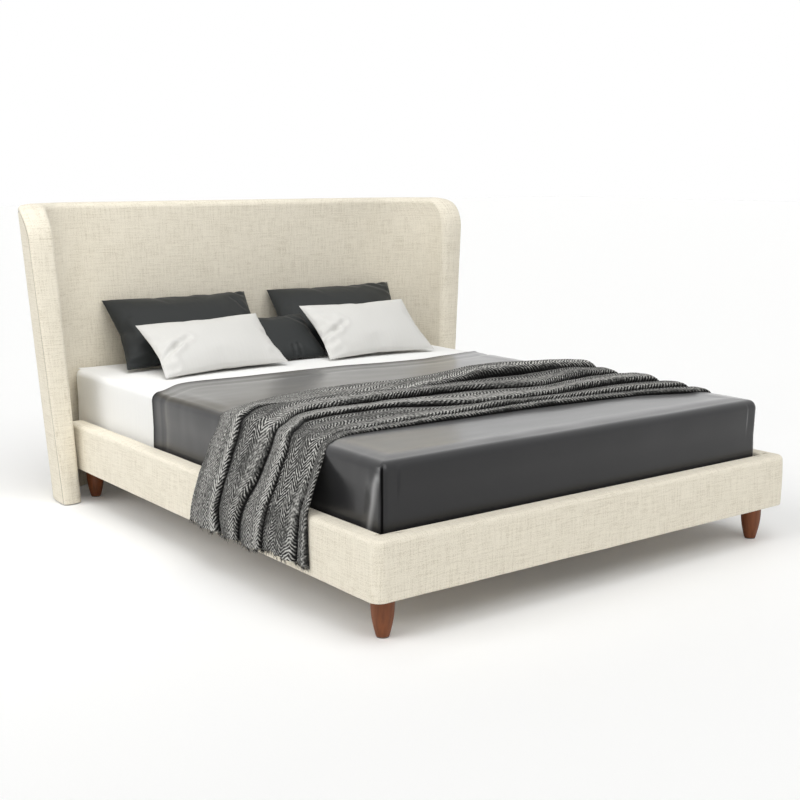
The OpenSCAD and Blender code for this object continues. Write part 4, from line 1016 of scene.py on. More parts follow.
def add_flat_sheet(context):
    hem = context.scene.bed_sizes.hem
    points, faces, cloth = block_sheet(SHEET_TOP, HEM_Z, flat_edge_y, 0.016)
    normals = point_normals(points, faces)
    x, y, z = points.T
    reach = cloth[:, 2]
    shoulder = MATTRESS_TOP - MATTRESS_CROWN - MATTRESS_EDGE_R
    # A doubled hem, 0.8 mm proud: its edge rolls up, and its row of stitches draws in the cloth
    lift = 0.8 * MM * (1 / (1 + np.exp((reach - hem) / (3 * MM))))
    lift += 4 * MM * np.exp(-((reach / (15 * MM)) ** 2))
    lift -= 2.4 * MM * np.exp(-(((reach - hem) / (12 * MM)) ** 2))
    # The tucked corners at the foot: a flap of the foot end is folded round onto the side, where its
    # edge falls in a soft ridge, and the fold draws in along the corner itself
    down = np.clip((shoulder - z) / (shoulder - HEM_Z), 0, 1)
    from_foot, from_side = y - MATTRESS_FOOT_Y, MATTRESS_W / 2 - np.abs(x)
    on_side = (normals[:, 0] * np.sign(x) > 0.6) & (from_side < 0.02)
    past = from_foot - (0.01 + 0.05 * down ** 0.8)
    flap = np.where(past > 0, 1 - past / (46 * MM), 1 + past / (16 * MM))
    flap = np.clip(flap, np.where(past > 0, 0, 0.25), 1)
    flap = flap ** 2 * (3 - 2 * flap) * 0.4 + flap * 0.6
    lift += np.where(on_side, 4.5 * MM * flap * np.clip(down * 7, 0, 1), 0)
    turned = np.degrees(np.arctan2(CORNER_R - from_foot, CORNER_R - from_side))
    under = MATTRESS_TOP - MATTRESS_CROWN - z
    near = (from_foot < CORNER_R) & (from_side < CORNER_R) & (under > 4 * MM)
    # Along the corner the cloth draws in, and the material paints this fold dark, as painted shade
    crease_and_painted_light = np.where(near, np.exp(-(((turned - 40) / 12) ** 4)) * np.clip(under / (12 * MM), 0, 1), 0)
    lift -= 3 * MM * crease_and_painted_light
    edge = np.exp(-((past / (10 * MM)) ** 2)) * np.clip(1.2 - down * 0.7, 0, 1)
    edge *= np.clip(down * 10 + 0.4, 0, 1)
    side_face = (np.abs(normals[:, 0]) > 0.85) & (under > 8 * MM)
    # On the side, along the flap's rounded edge, the value goes below 0: a painted highlight
    crease_and_painted_light = crease_and_painted_light - np.where(side_face, 0.85 * edge * (1 - crease_and_painted_light), 0)
    # A thin shadow is painted under the rolled head edge, as painted shade
    crease_and_painted_light = np.where(reach < 30 * MM, np.maximum(crease_and_painted_light, 0.75 * np.exp(-((reach / (8 * MM)) ** 2))), crease_and_painted_light)
    # The cloth lies fuller than the mattress near its shoulders, so that they turn softly
    rim = np.minimum(from_side, from_foot)
    swell = smooth_noise(np.stack([x, y, z], 1), 0.16, 22) * 0.5 + 0.8
    full = np.where(
        z > MATTRESS_TOP - MATTRESS_CROWN - 6 * MM, np.exp(-(((rim - 0.06) / 0.035) ** 2)),
        0.8 * np.exp(-(((shoulder - z - 0.03) / 0.035) ** 2))
        * np.clip(from_foot / 0.05 + (from_side > 0.05), 0, 1),
    )
    lift += 4 * MM * full * swell * np.clip(reach / 0.15, 0, 1)
    # Soft drapes of the cloth on the sides and the top
    soft = smooth_noise(np.stack([x * 0.8, y, z * 0.5], 1), 0.22, 21) * 1.6 * MM
    pulls = smooth_noise(np.stack([x * 0.5, y * 1.6, z * 0.4], 1), 0.06, 23) * 0.5 * MM
    lift += (soft + pulls) * np.clip(np.hypot(from_foot, from_side) / 0.1, 0, 1)
    # It stays clear of the sheet below
    lift = np.maximum(lift, -1.9 * MM - 3 * MM * np.maximum(crease_and_painted_light, 0))
    points = points + normals * lift[:, None]
    obj = make_object("grey_flat_sheet", *thickened(points, faces, cloth, 1.4 * MM))
    # The material paints these values as painted shade (+) and a painted highlight (-)
    marks = obj.data.attributes.new("crease_and_painted_light", "FLOAT", "POINT")
    marks.data.foreach_set("value", np.concatenate([crease_and_painted_light, crease_and_painted_light]).astype(np.float32))
    dress(obj, finish("sateen"), "grey_cotton", "flat_sheet")


# Throw

THROW_W, THROW_Y, THROW_LEFT_Z, THROW_RIGHT_Z, THROW_GAP = 0.75, -0.4, 0.134, 0.214, 0.002
THROW_EDGE_R = MATTRESS_EDGE_R + SHEET_TOP + THROW_GAP
TOP_OUT_X = MATTRESS_W / 2 + SHEET_TOP + THROW_GAP
HANG_X = RAIL_OUT_X + THROW_GAP + 2 * TOUCH
RAIL_EDGE_Z = RAIL_TOP + THROW_GAP
TOP_EDGE_Z = MATTRESS_TOP - MATTRESS_CROWN + SHEET_TOP + THROW_GAP
# The throw's edges and the valleys between its pleats, from front to back: shares of its length, and
# of its width from its middle line
EDGE_SHARES = (
    ((0, -0.52), (0.08, -0.51), (0.135, -0.5), (0.17, -0.47), (0.19, -0.43), (0.215, -0.39), (0.3, -0.4),
     (0.45, -0.415), (0.55, -0.42), (0.65, -0.45), (0.75, -0.48), (0.84, -0.56), (1, -0.6)),
    ((0, -0.44), (0.06, -0.465), (0.11, -0.47), (0.17, -0.43), (0.215, -0.34), (0.3, -0.34), (0.42, -0.35),
     (0.5, -0.34), (0.57, -0.345), (0.67, -0.37), (0.78, -0.41), (1, -0.47)),
    ((0, -0.19), (0.03, -0.2), (0.06, -0.235), (0.08, -0.262), (0.115, -0.272), (0.15, -0.26),
     (0.18, -0.2), (0.215, -0.09), (0.26, -0.06), (0.37, -0.068), (0.42, -0.15), (0.47, -0.25),
     (0.55, -0.275), (0.62, -0.285), (0.71, -0.245), (0.8, -0.24), (1, -0.27)),
    ((0, -0.007), (0.03, -0.015), (0.05, -0.045), (0.07, -0.1), (0.09, -0.14), (0.12, -0.15),
     (0.16, -0.135), (0.19, -0.07), (0.22, 0.02), (0.26, 0.07), (0.36, 0.045), (0.5, 0.06), (0.56, 0.04),
     (0.61, -0.04), (0.66, -0.085), (0.73, -0.04), (0.8, 0), (1, 0.02)),
    ((0, 0.13), (0.02, 0.148), (0.04, 0.145), (0.07, 0.095), (0.1, 0.09), (0.135, 0.1), (0.16, 0.13),
     (0.18, 0.18), (0.21, 0.27), (0.24, 0.3), (0.33, 0.28), (0.42, 0.14), (0.49, 0.17), (0.55, 0.21),
     (0.65, 0.265), (0.73, 0.22), (0.8, 0.19), (1, 0.15)),
    ((0, 0.4), (0.03, 0.375), (0.05, 0.34), (0.075, 0.3), (0.12, 0.287), (0.15, 0.287), (0.19, 0.34),
     (0.23, 0.4), (0.29, 0.465), (0.37, 0.51), (0.45, 0.52), (0.52, 0.495), (0.58, 0.505), (0.65, 0.535),
     (0.715, 0.55), (0.76, 0.47), (0.81, 0.39), (1, 0.34)),
)
# How high each pleat stands along the throw, as a share of the fold height
RIDGE_SHARES = (
    ((0, 0.55), (0.07, 0.4), (0.11, 0.1), (0.24, 0.15), (0.32, 0.35), (0.45, 0.45), (0.7, 0.5), (1, 0.5)),
    ((0, 0.8), (0.06, 0.7), (0.11, 0.2), (0.23, 0.15), (0.34, 0.5), (0.5, 0.75), (0.8, 0.7), (1, 0.6)),
    ((0, 0.65), (0.07, 0.6), (0.2, 0.7), (0.35, 0.6), (0.45, 0.9), (0.7, 1.15), (0.85, 0.9), (1, 0.6)),
    ((0, 0.7), (0.06, 0.95), (0.15, 0.95), (0.25, 0.9), (0.42, 1.05), (0.6, 0.8), (0.8, 1.15), (1, 0.6)),
    ((0, 0.7), (0.15, 0.75), (0.21, 0.7), (0.26, 0.15), (0.4, 0.15), (0.5, 0.85), (0.7, 1.5), (0.83, 1.6),
     (1, 0.6)),
)
# Where each pleat's ridge stands between its two valleys, the painted light on its crest and behind it,
# paler (+) or darker (-), how far it leans over the front valley, and how far the cloth below runs in under
# it
RIDGE_PLACE_SHARES = (0.3, 0.2, 0.24, 0.34, 0.16)
PAINTED_PLEAT_LIGHT = (0.0, 0.05, 0.4, -0.1, 0.45)
PAINTED_LIGHT_BEHIND = (-0.4, -0.4, -1.0, -0.6, 0.1)
LEANS = (3 * MM, 5 * MM, 5 * MM, 9 * MM, 7 * MM)
UNDERCUTS = (5 * MM, 8 * MM, 10 * MM, 24 * MM, 13 * MM)
STEPS_BETWEEN = 4


def throw_path():
    """Points (x, z) of the throw's way over the bed, from its left end to its right end."""
    def hang(side, z):
        return [
            (side * HANG_X, z), (side * HANG_X, (z + RAIL_EDGE_Z) / 2), (side * HANG_X, RAIL_EDGE_Z),
            (side * (HANG_X + 0.45 * (TOP_OUT_X - HANG_X)), RAIL_EDGE_Z + 0.5 * (TOP_EDGE_Z - RAIL_EDGE_Z)),
        ]

    def arc(side):
        turns = (15, 32, 50, 65, 80) if side < 0 else (80, 65, 50, 32, 15)
        return [
            (side * (TOP_OUT_X - THROW_EDGE_R + THROW_EDGE_R * math.cos(math.radians(a))),
             TOP_EDGE_Z - THROW_EDGE_R + THROW_EDGE_R * math.sin(math.radians(a)))
            for a in turns
        ]

    shares = (-0.9, -0.82, -0.72, -0.58, -0.4, -0.2, 0, 0.2, 0.4, 0.56, 0.7, 0.82, 0.9)
    rim_x = MATTRESS_W / 2 - MATTRESS_EDGE_R
    top = [(x, TOP_EDGE_Z + float(crown(max(0, rim_x - abs(x))))) for x in (t * TOP_OUT_X for t in shares)]
    return np.array(hang(-1, THROW_LEFT_Z) + arc(-1) + top + arc(1) + hang(1, THROW_RIGHT_Z)[::-1])


def eased(t, stops):
    """Interpolates between stops with rounded bends."""
    xs, ys = zip(*stops)
    fine = np.linspace(0, 1, 401)
    kernel = np.hanning(23)
    smooth = np.convolve(np.pad(np.interp(fine, xs, ys), 11, "edge"), kernel / kernel.sum(), "valid")
    return np.interp(t, fine, smooth)


def throw_line(step):
    """The throw's way over the bed as close points, with the outward way at each, and its length so far."""
    path = throw_path()
    length = lengths(path)
    at = np.linspace(0, length[-1], int(length[-1] / step))
    line = np.stack([np.interp(at, length, path[:, k]) for k in (0, 1)], 1)
    kernel = np.hanning(9) / np.hanning(9).sum()
    for k in (0, 1):
        line[:, k] = np.convolve(np.pad(line[:, k], 4, "reflect", reflect_type="odd"), kernel, "valid")
    tangent = np.gradient(line, axis=0)
    tangent /= np.linalg.norm(tangent, axis=1, keepdims=True)
    return line, np.stack([-tangent[:, 1], tangent[:, 0]], 1), at


def through(stops, steps):
    """A smooth curve through stops (their first axis), with the given number of steps between two."""
    padded = np.concatenate([2 * stops[:1] - stops[1:2], stops, 2 * stops[-1:] - stops[-2:-1]])
    s = (np.arange(steps) / steps)[:, None]
    rows = []
    for a, b, c, d in zip(padded[:-3], padded[1:-2], padded[2:-1], padded[3:]):
        bend, twist = a - 2.5 * b + 2 * c - 0.5 * d, 1.5 * (b - c) + 0.5 * (d - a)
        rows.append(b + 0.5 * s * (c - a) + s ** 2 * bend + s ** 3 * twist)
    return np.concatenate(rows)


def pleat(front, back, height, number):
    """One pleat across the throw, as stops: up out of its valley, over its ridge, and down.

    Each stop holds y, lift and its painted light: painted shade deep in a fold (-1), a painted highlight on a
    crest (+1)."""
    full = np.clip(height / (12 * MM), 0.2, 1)
    lean, under = LEANS[number] * full, UNDERCUTS[number] * full
    ridge = front + RIDGE_PLACE_SHARES[number] * (back - front)
    fall, shade, behind = back - ridge, np.full(len(full), PAINTED_PLEAT_LIGHT[number]), PAINTED_LIGHT_BEHIND[number] * full
    return [
        (front + under, 0 * height, -full),
        (front + 0.25 * under - 0.2 * lean, 0.08 * height, -full),
        (front - 0.8 * lean, 0.36 * height, -0.75 * full),
        (front - 0.75 * lean, 0.7 * height, -0.3 * full),
        (front + 0.35 * (ridge - front) - 0.2 * lean, 0.93 * height, 0.8 * full + shade),
        (ridge, height, shade),
        (ridge + 0.3 * fall, 0.86 * height, shade),
        (ridge + 0.62 * fall, 0.5 * height, shade + 0.3 * behind),
        (ridge + 0.9 * fall, 0.14 * height, behind),
    ]


def throw_sheet(fold_h):
    """The throw's upper face as a grid: rows along its path, columns across its pleats."""
    line, out, at = throw_line(0.007)
    t = at / at[-1]
    edges = [THROW_Y + THROW_W * eased(t, stops) for stops in EDGE_SHARES]
    for k in range(1, len(edges)):
        edges[k] = np.maximum(edges[k], edges[k - 1] + 22 * MM)
    stops = []
    for number, shares in enumerate(RIDGE_SHARES):
        # No ridge keeps one height: each rises and sinks a little along the throw
        rise = np.array([noise.noise(Vector((s * 9, number * 5.3, 0.4))) for s in t.tolist()])
        height = fold_h * eased(t, shares) * (1 + 0.35 * rise)
        stops += pleat(edges[number], edges[number + 1], height, number)
    stops.append((edges[-1], 0 * t, 0 * t))
    columns = through(np.stack([np.stack(s, 1).ravel() for s in stops]), STEPS_BETWEEN)
    columns = np.concatenate([columns, np.stack(stops[-1], 1).reshape(1, -1)]).reshape(-1, len(t), 3)
    # depth is the stops' painted light: painted shade in the folds, painted highlights on the crests
    y, lift, depth = columns.transpose(2, 1, 0)
    lift = np.maximum(lift, -0.5 * MM)
    # Towards the right end the tone is painted darker, as painted shade
    depth = depth - 0.3 * np.clip((t[:, None] - 0.4) / 0.2, 0, 1) * (depth > -0.3)
    grid = np.stack([
        line[:, 0, None] + out[:, 0, None] * lift, y, line[:, 1, None] + out[:, 1, None] * lift
    ], 2)
    # Small crumples, stronger on the hanging end
    wobble = smooth_noise((grid * [1.0, 2.0, 1.0]).reshape(-1, 3), 0.06, 31).reshape(lift.shape)
    loose = (0.8 + 0.8 * np.clip(1 - t * 4, 0, 1))[:, None]
    amount = loose * 2.0 * MM * np.clip(lift / (10 * MM) + 0.2, 0, 1)
    grid[:, :, 0] += out[:, 0, None] * wobble * amount
    grid[:, :, 2] += out[:, 1, None] * wobble * amount
    # The lower edge of the hanging ends isn't cut dead straight
    ragged = np.clip(1 - at / 0.12, 0, 1)[:, None] * smooth_noise(
        np.stack([y[0], 0 * y[0], 0 * y[0]], 1), 0.05, 37
    )[None, :]
    # Nor does it hang at one height: its front third on the left is shorter
    front_third = np.clip((-0.5 - y[0]) / 0.1, 0, 1)[None, :] * np.clip(1 - at / 0.15, 0, 1)[:, None]
    grid[:, :, 2] += 5 * MM * ragged + 18 * MM * front_third
    step = np.linalg.norm(np.diff(grid, axis=1), axis=2)
    # Every row takes the same places across the cloth, so that the yarns run along the pleats
    across = np.concatenate([[0], np.cumsum(step.mean(0))])
    flat = np.stack(np.broadcast_arrays(at[:, None], across[None, :], depth), 2)
    return grid, flat


def strands(roots, ways, length, seed):
    """Fringe: thin bent strands, each a three-sided tube that tapers to its tip."""
    rng = np.random.default_rng(seed)
    points, faces, cloth = [], [], []
    for root, way in zip(roots, ways):
        reach = length * rng.uniform(0.25, 1.15)
        side = np.array([rng.normal(0, 0.25), rng.normal(0, 0.55), rng.normal(0, 0.12)])
        curl = np.array([rng.normal(0, 0.3), rng.normal(0, 0.6), 0])
        start = len(points)
        spots = np.linspace(0, 1, 5)
        for s in spots:
            centre = root + way * reach * s + side * reach * s * 0.6 + curl * reach * s * s * 0.5
            r = 1.1 * MM * (1 - 0.72 * s)
            for k in range(3):
                a = 2 * math.pi * k / 3
                points.append(centre + np.array([math.cos(a) * r, math.sin(a) * r, 0]))
                cloth.append((reach * s, k * MM, 0))
        for j in range(len(spots) - 1):
            for k in range(3):
                a, b = start + j * 3 + k, start + j * 3 + (k + 1) % 3
                faces.append((a, b, b + 3, a + 3))
        faces.append((start, start + 2, start + 1, start + 1))
        tip = start + 3 * (len(spots) - 1)
        faces.append((tip, tip + 1, tip + 2, tip + 2))
    return np.array(points), np.array(faces), np.array(cloth)


TUFTS, STRANDS = 90, 7


def add_throw(context):
    sizes = context.scene.bed_sizes
    wool = finish("wool")
    grid, flat = throw_sheet(sizes.fold)
    rows, cols = grid.shape[:2]
    points, faces, cloth = grid.reshape(-1, 3), grid_faces(rows, cols), flat.reshape(-1, 3)
    upper = np.abs(points[faces].mean(1)[:, 0]) < 0.5
    if face_normals(points, faces)[upper, 2].sum() < 0:
        faces = faces[:, ::-1]
    normals = point_normals(points, faces)
    points = points + normals * THROW_T * 0.4
    throw = make_object("herringbone_throw", *thickened(points, faces, cloth, THROW_T * 0.55))
    dress(throw, wool, "grey_wool", "throw")
    moved = points.reshape(rows, cols, 3) - normals.reshape(rows, cols, 3) * THROW_T * 0.25
    for name, row, seed in (("fringe_left", 0, 51), ("fringe_right", rows - 1, 52)):
        rng = np.random.default_rng(seed)
        # Strands stand in loose tufts along the edge
        tufts = rng.uniform(0, cols - 1.001, TUFTS)
        loose = np.repeat(tufts, STRANDS) + rng.normal(0, 0.8, TUFTS * STRANDS)
        spots = np.sort(np.clip(loose, 0, cols - 1.001))
        k = spots.astype(int)
        share = (spots - k)[:, None]
        roots = moved[row, k] * (1 - share) + moved[row, k + 1] * share
        roots[:, 2] += 3 * MM
        ways = np.tile([0.0, 0.0, -1.0], (len(roots), 1))
        fringe = make_object(f"throw_{name}", *strands(roots, ways, sizes.fringe, seed))
        dress(fringe, wool, "grey_wool")


# Pillows

LIP = np.array([0, 4, 9]) * MM


def pillow_skin(w, h, step):
    """Two layers of cloth sewn together at their edges, as (points, faces, cloth)."""
    def across(size):
        # Two more rows along each seam, for its lip
        inner = size - 2 * LIP[-1]
        middle = np.linspace(-inner / 2, inner / 2, int(round(inner / step)) + 1)
        return np.concatenate([LIP[:-1] - size / 2, middle, size / 2 - LIP[-2::-1]])

    x, y = across(w), across(h)
    gy, gx = np.meshgrid(y, x, indexing="ij")
    nx, ny = len(x), len(y)
    flat = np.stack([gx, gy, np.zeros_like(gx)], 2)
    edge = np.zeros((ny, nx), bool)
    edge[[0, -1]] = True
    edge[:, [0, -1]] = True
    gap = np.where(edge, 0, 1.5 * MM)
    front, back = flat.copy(), flat.copy()
    front[:, :, 2] += gap
    back[:, :, 2] -= gap
    shift = flat + [0, 0, 0.4]
    faces = grid_faces(ny, nx)
    return welded([
        (front.reshape(-1, 3), faces, flat.reshape(-1, 3)),
        (back.reshape(-1, 3), faces[:, ::-1], shift.reshape(-1, 3)),
    ])


def filled_by_formula(points, w, h, t):
    u, v = points[:, 0] / (w / 2), points[:, 1] / (h / 2)
    swell = np.sqrt(np.clip((1 - np.abs(u) ** 2.4) * (1 - np.abs(v) ** 2.2), 0, 1)) ** 0.9
    draw = 0.06
    out = points.copy()
    # Soft corners
    out[:, :2] *= 1 - 0.01 * (np.abs(u * v) ** 5)[:, None]
    out[:, 0] *= 1 - draw * (1 - v ** 2) * np.abs(u) ** 3
    out[:, 1] *= 1 - draw * 1.2 * (1 - u ** 2) * np.abs(v) ** 3
    out[:, 2] = np.sign(points[:, 2]) * swell * t / 2
    return out


FILLING = {
    "quality": 6, "mass": 0.25, "tension_stiffness": 14, "compression_stiffness": 14, "shear_stiffness": 6,
    "bending_stiffness": 0.12, "air_damping": 3, "use_pressure": True,
}


def filled_by_cloth(name, points, faces, cloth, pressure):
    """Blows up the skin with Blender's cloth, so that its seams pull in and pucker."""
    scene = bpy.context.scene
    obj = make_object(name, points, faces, cloth)
    cloth_mod = obj.modifiers.new("filling", "CLOTH")
    settings = cloth_mod.settings
    settings.uniform_pressure_force = pressure
    for key, value in FILLING.items():
        setattr(settings, key, value)
    settings.effector_weights.gravity = 0
    cloth_mod.collision_settings.use_collision = False
    cloth_mod.point_cache.frame_start, cloth_mod.point_cache.frame_end = 1, 30
    for step in range(1, 27):
        scene.frame_set(step)
    graph = bpy.context.evaluated_depsgraph_get()
    swollen = obj.evaluated_get(graph).to_mesh()
    out = np.zeros(len(swollen.vertices) * 3)
    swollen.vertices.foreach_get("co", out)
    mesh = obj.data
    bpy.data.objects.remove(obj)
    bpy.data.meshes.remove(mesh)
    scene.frame_set(1)
    return out.reshape(-1, 3)


# Wrinkles that the photograph shows: both ends as shares of half the pillow's size, width and depth
WRINKLES = {
    "grey_pillow_left": (
        (0.69, 0.6, 0.8, 0.3, 10 * MM, 5 * MM), (-0.98, -0.88, -0.66, -0.9, 10 * MM, 14 * MM),
        (-0.1, 0.97, 0.15, 0.8, 12 * MM, 4 * MM), (-0.9, 0.1, -0.8, -0.4, 12 * MM, 3 * MM),
        (0.78, 0.98, 0.86, 0.8, 12 * MM, 8 * MM),
    ),
    "grey_pillow_right": (
        (0.55, 0.75, 0.9, 0.55, 12 * MM, 4 * MM), (0.05, 0.95, 0.35, 0.75, 14 * MM, 4 * MM),
        (0.7, 0.98, 0.82, 0.8, 14 * MM, 6 * MM),
    ),
    "grey_cushion_middle": (
        (-0.1, -0.95, -0.06, -0.55, 6 * MM, 4 * MM), (0.16, -0.95, 0.12, -0.5, 6 * MM, 4 * MM),
        (0.2, 0.95, 0.85, 0.3, 9 * MM, 3.5 * MM),
    ),
    "white_cushion_left": (
        (-0.45, 0.02, -0.66, -0.16, 10 * MM, 7 * MM), (-0.66, -0.16, -0.9, -0.42, 11 * MM, 13 * MM),
        (-0.99, -0.5, -0.84, -0.56, 12 * MM, 7 * MM), (-0.99, -0.78, -0.82, -0.8, 12 * MM, 7 * MM),
        (0.8, -0.72, 0.97, -0.86, 12 * MM, 4 * MM), (-0.98, 0.3, -0.86, 0.2, 12 * MM, 4 * MM),
        (0.98, 0.1, 0.86, 0.05, 12 * MM, 4 * MM),
    ),
    "white_cushion_right": (
        (-0.5, 0.02, -0.68, -0.16, 10 * MM, 7 * MM), (-0.68, -0.16, -0.96, -0.3, 11 * MM, 12 * MM),
        (-0.99, -0.6, -0.82, -0.55, 12 * MM, 6 * MM), (-0.96, -0.9, -0.76, -0.8, 12 * MM, 5 * MM),
        (-0.85, 0.5, -0.65, 0.3, 14 * MM, 4 * MM), (-0.98, 0.1, -0.86, 0.08, 12 * MM, 4 * MM),
    ),
}

def wrinkled(points, name, w, h, t):
    """Draws wrinkles into the front of a pillow: the cloth sinks along each and puffs up beside it."""
    out = points.copy()
    flat = points[:, :2]
    front = np.clip(points[:, 2] / (0.1 * t), 0, 1)
    for x0, y0, x1, y1, width, depth in WRINKLES[name]:
        start, end = np.array([x0 * w, y0 * h]) / 2, np.array([x1 * w, y1 * h]) / 2
        way = end - start
        share = np.clip((flat - start) @ way / (way @ way), 0, 1)
        off = np.linalg.norm(flat - start - share[:, None] * way, axis=1) / width
        out[:, 2] += front * depth * (0.4 * np.exp(-((off - 2.1) ** 2)) - np.exp(-(off ** 2)))
    return out


def settle(points, w, h, t, cap):
    """Scales a filled skin to the size of its CAD solid, and keeps it within a cap of it."""
    size = points.max(0) - points.min(0)
    out = (points - (points.max(0) + points.min(0)) / 2) / size * [w, h, t]
    u = np.clip(np.abs(out[:, 0]) / (w / 2), 0, 1)
    v = np.clip(np.abs(out[:, 1]) / (h / 2), 0, 1)
    side = np.maximum(u, v)
    limit = t / 2 * (np.clip(1 - side, 0, 1) / 0.78) ** (1 / 2.2) + cap
    out[:, 2] = np.clip(out[:, 2], -limit, limit)
    return out


def level_g(s):
    return 1 - 0.78 * abs(s) ** 2.2


def belly(h, t, lean):
    return max(
        t / 2 * s * math.sin(lean) - h / 2 * (1 - level_g(s)) * math.cos(lean)
        for s in (-1, -0.9, -0.66, -0.34, 0, 0.34, 0.66, 0.9, 1)
    )


def laid(points, share, lean, turn, w, h, t):
    """Puts a pillow in its place: it stands on its lower edge, leans back and may turn."""
    lean, turn = math.radians(lean), math.radians(turn)
    x, depth, up = points[:, 0], -points[:, 2], points[:, 1] + h / 2
    y = depth * math.cos(lean) + up * math.sin(lean)
    z = -depth * math.sin(lean) + up * math.cos(lean)
    px = x * math.cos(turn) - y * math.sin(turn)
    py = x * math.sin(turn) + y * math.cos(turn)
    return np.stack([
        px + share[0] * MATTRESS_W / 2,
        py + MATTRESS_HEAD_Y - share[1] * MATTRESS_L,
        z + BED_TOP + belly(h, t, lean),
    ], 1)


# Name, node, finish and slot; its place as shares of half the mattress's width and of its length from the
# head; its lean and turn in degrees; its net width, height and thickness; its fill; and how it was set
# down, as no pillow stands quite square: how far its top and its bottom lie to the right in mm, how much
# wider and taller than its net size the cloth is, and its roll in degrees
PILLOWS = (
    ("grey_pillow_left", "pillow_left", "pillowcase", "grey_cotton", (-0.421, 0.1424), 51, 0,
     (0.635, 0.375, 0.14), 0.7, (12, -24, 1, 1, 0)),
    ("grey_pillow_right", "pillow_right", "pillowcase", "grey_cotton", (0.546, 0.1424), 51, 0,
     (0.635, 0.375, 0.14), 0.7, (14, -80, 1, 1, 0)),
    ("grey_cushion_middle", "cushion_middle", "pillowcase", "grey_cotton", (0.0157, 0.1975), 51, 0,
     (0.28, 0.255, 0.062), 0.6, (3, 8, 1, 1, 0)),
    ("white_cushion_left", "cushion_left", "cushion", "white_cotton", (-0.455, 0.2448), 57, 2,
     (0.52, 0.3, 0.104), 0.7, (16, 0, 1.04, 1.02, 1.6)),
    ("white_cushion_right", "cushion_right", "cushion", "white_cotton", (0.468, 0.2488), 52, -2,
     (0.52, 0.3, 0.104), 0.7, (3, 0, 0.985, 1.04, 0)),
)


def add_pillows(context):
    pressure = context.scene.bed_sizes.pressure
    for number, (name, cad, look, slot, share, lean, turn, size, fill, set_down) in enumerate(PILLOWS):
        w, h, t = size
        top, bottom, wide, tall, roll = set_down
        step = 0.009 if w > 0.4 else 0.007
        points, faces, cloth = pillow_skin(w * 1.1, h * 1.12, step)
        faces = closed_right(points, faces)
        shape = settle(filled_by_formula(points, w * 1.1, h * 1.12, t), w, h, t, 4 * MM)
        # The cloth puckers as the simulation shows, but its taped seams keep the outline straight
        blown = settle(filled_by_cloth(name, points, faces, cloth, pressure), w, h, t, 4 * MM)
        shape += (blown - shape) * [0.2, 0.2, 0.5]
        shape = wrinkled(shape, name, w, h, t)
        # The sewn edge stands out as a narrow lip
        rim = np.minimum(w * 0.55 - np.abs(cloth[:, 0]), h * 0.56 - np.abs(cloth[:, 1]))
        shape[:, 2] *= 1 - 0.85 * np.exp(-((rim / (6 * MM)) ** 4))
        shape[:, 0] = shape[:, 0] * wide + (top + bottom) / 2 * MM + (top - bottom) * MM * shape[:, 1] / h
        shape[:, 1] = (shape[:, 1] + h / 2) * tall - h / 2 + shape[:, 0] * math.sin(math.radians(roll))
        # Filling lies in soft lumps, different in each pillow
        lumps = smooth_noise(shape * [1, 1, 2], 0.11, 60 + number) * 3 * MM
        full = np.clip(np.abs(shape[:, 2]) / (t / 3), 0, 1)
        shape = shape + point_normals(shape, faces) * (lumps * full)[:, None]
        placed = laid(shape, share, lean, turn, w, h, t)
        # Where it lies on the bed its underside flattens
        rest, soft = BED_TOP + 0.6 * MM, 9 * MM
        low = placed[:, 2] < rest + soft
        placed[low, 2] = rest + soft * np.exp((placed[low, 2] - rest - soft) / soft)
        obj = make_object(name, placed, faces, cloth)
        smooth = obj.modifiers.new("smooth", "SUBSURF")
        smooth.levels = smooth.render_levels = 1
        dress(obj, finish(look), slot, cad)


# Finishes

FINISHES = {}


def make_finishes(context):
    c = context.scene.bed_colours
    FINISHES.update({
        "linen": slub_upholstery("cream slub weave", list(c.linen), list(c.slub)),
        "white": smooth_cotton("white cotton percale", list(c.white), 0.1, 0.8),
        "cushion": smooth_cotton("off-white cotton percale", list(c.cushion), 0.1, 0.8),
        "ticking": smooth_cotton("mattress ticking, knitted", linear("#E6E4DF"), 0.1, 0.85),
        "sateen": smooth_cotton(
            "grey cotton sateen", list(c.sateen), 0.75, 0.36, gloss=1.0, hem=context.scene.bed_sizes.hem
        ),
        "pillowcase": smooth_cotton("grey cotton sateen, pillowcase", list(c.pillowcase), 0.08, 0.5),
        "wool": herringbone_wool("herringbone wool, brushed", list(c.wool_light), list(c.wool_dark)),
        "walnut": varnished_walnut("walnut, satin varnish", list(c.walnut)),
        "pine": sawn_wood("pine, planed", linear("#D9B98A"), 1, 5),
        "pine_cross": sawn_wood("pine, planed across", linear("#D6B585"), 0, 5),
        "pine_upright": sawn_wood("pine, planed upright", linear("#D8B888"), 2, 5),
        "birch": sawn_wood("birch ply, bent", linear("#E2C79D"), 0, 3),
        "steel": coated_metal("steel, powder-coated graphite", linear("#4C4E52"), 0.0, 0.55, 0.9),
        "zinc": coated_metal("steel, zinc-plated", linear("#B9BCC0"), 1.0, 0.36, 0.6),
        "black_plastic": moulded_nylon("nylon, moulded black", linear("#232325")),
        "felt": matted_fibre("wool felt, pressed", linear("#6E675E"), 0.9),
        "lining": matted_fibre("polypropylene dust cover, spun", linear("#D2CABA"), 1.4),
    })


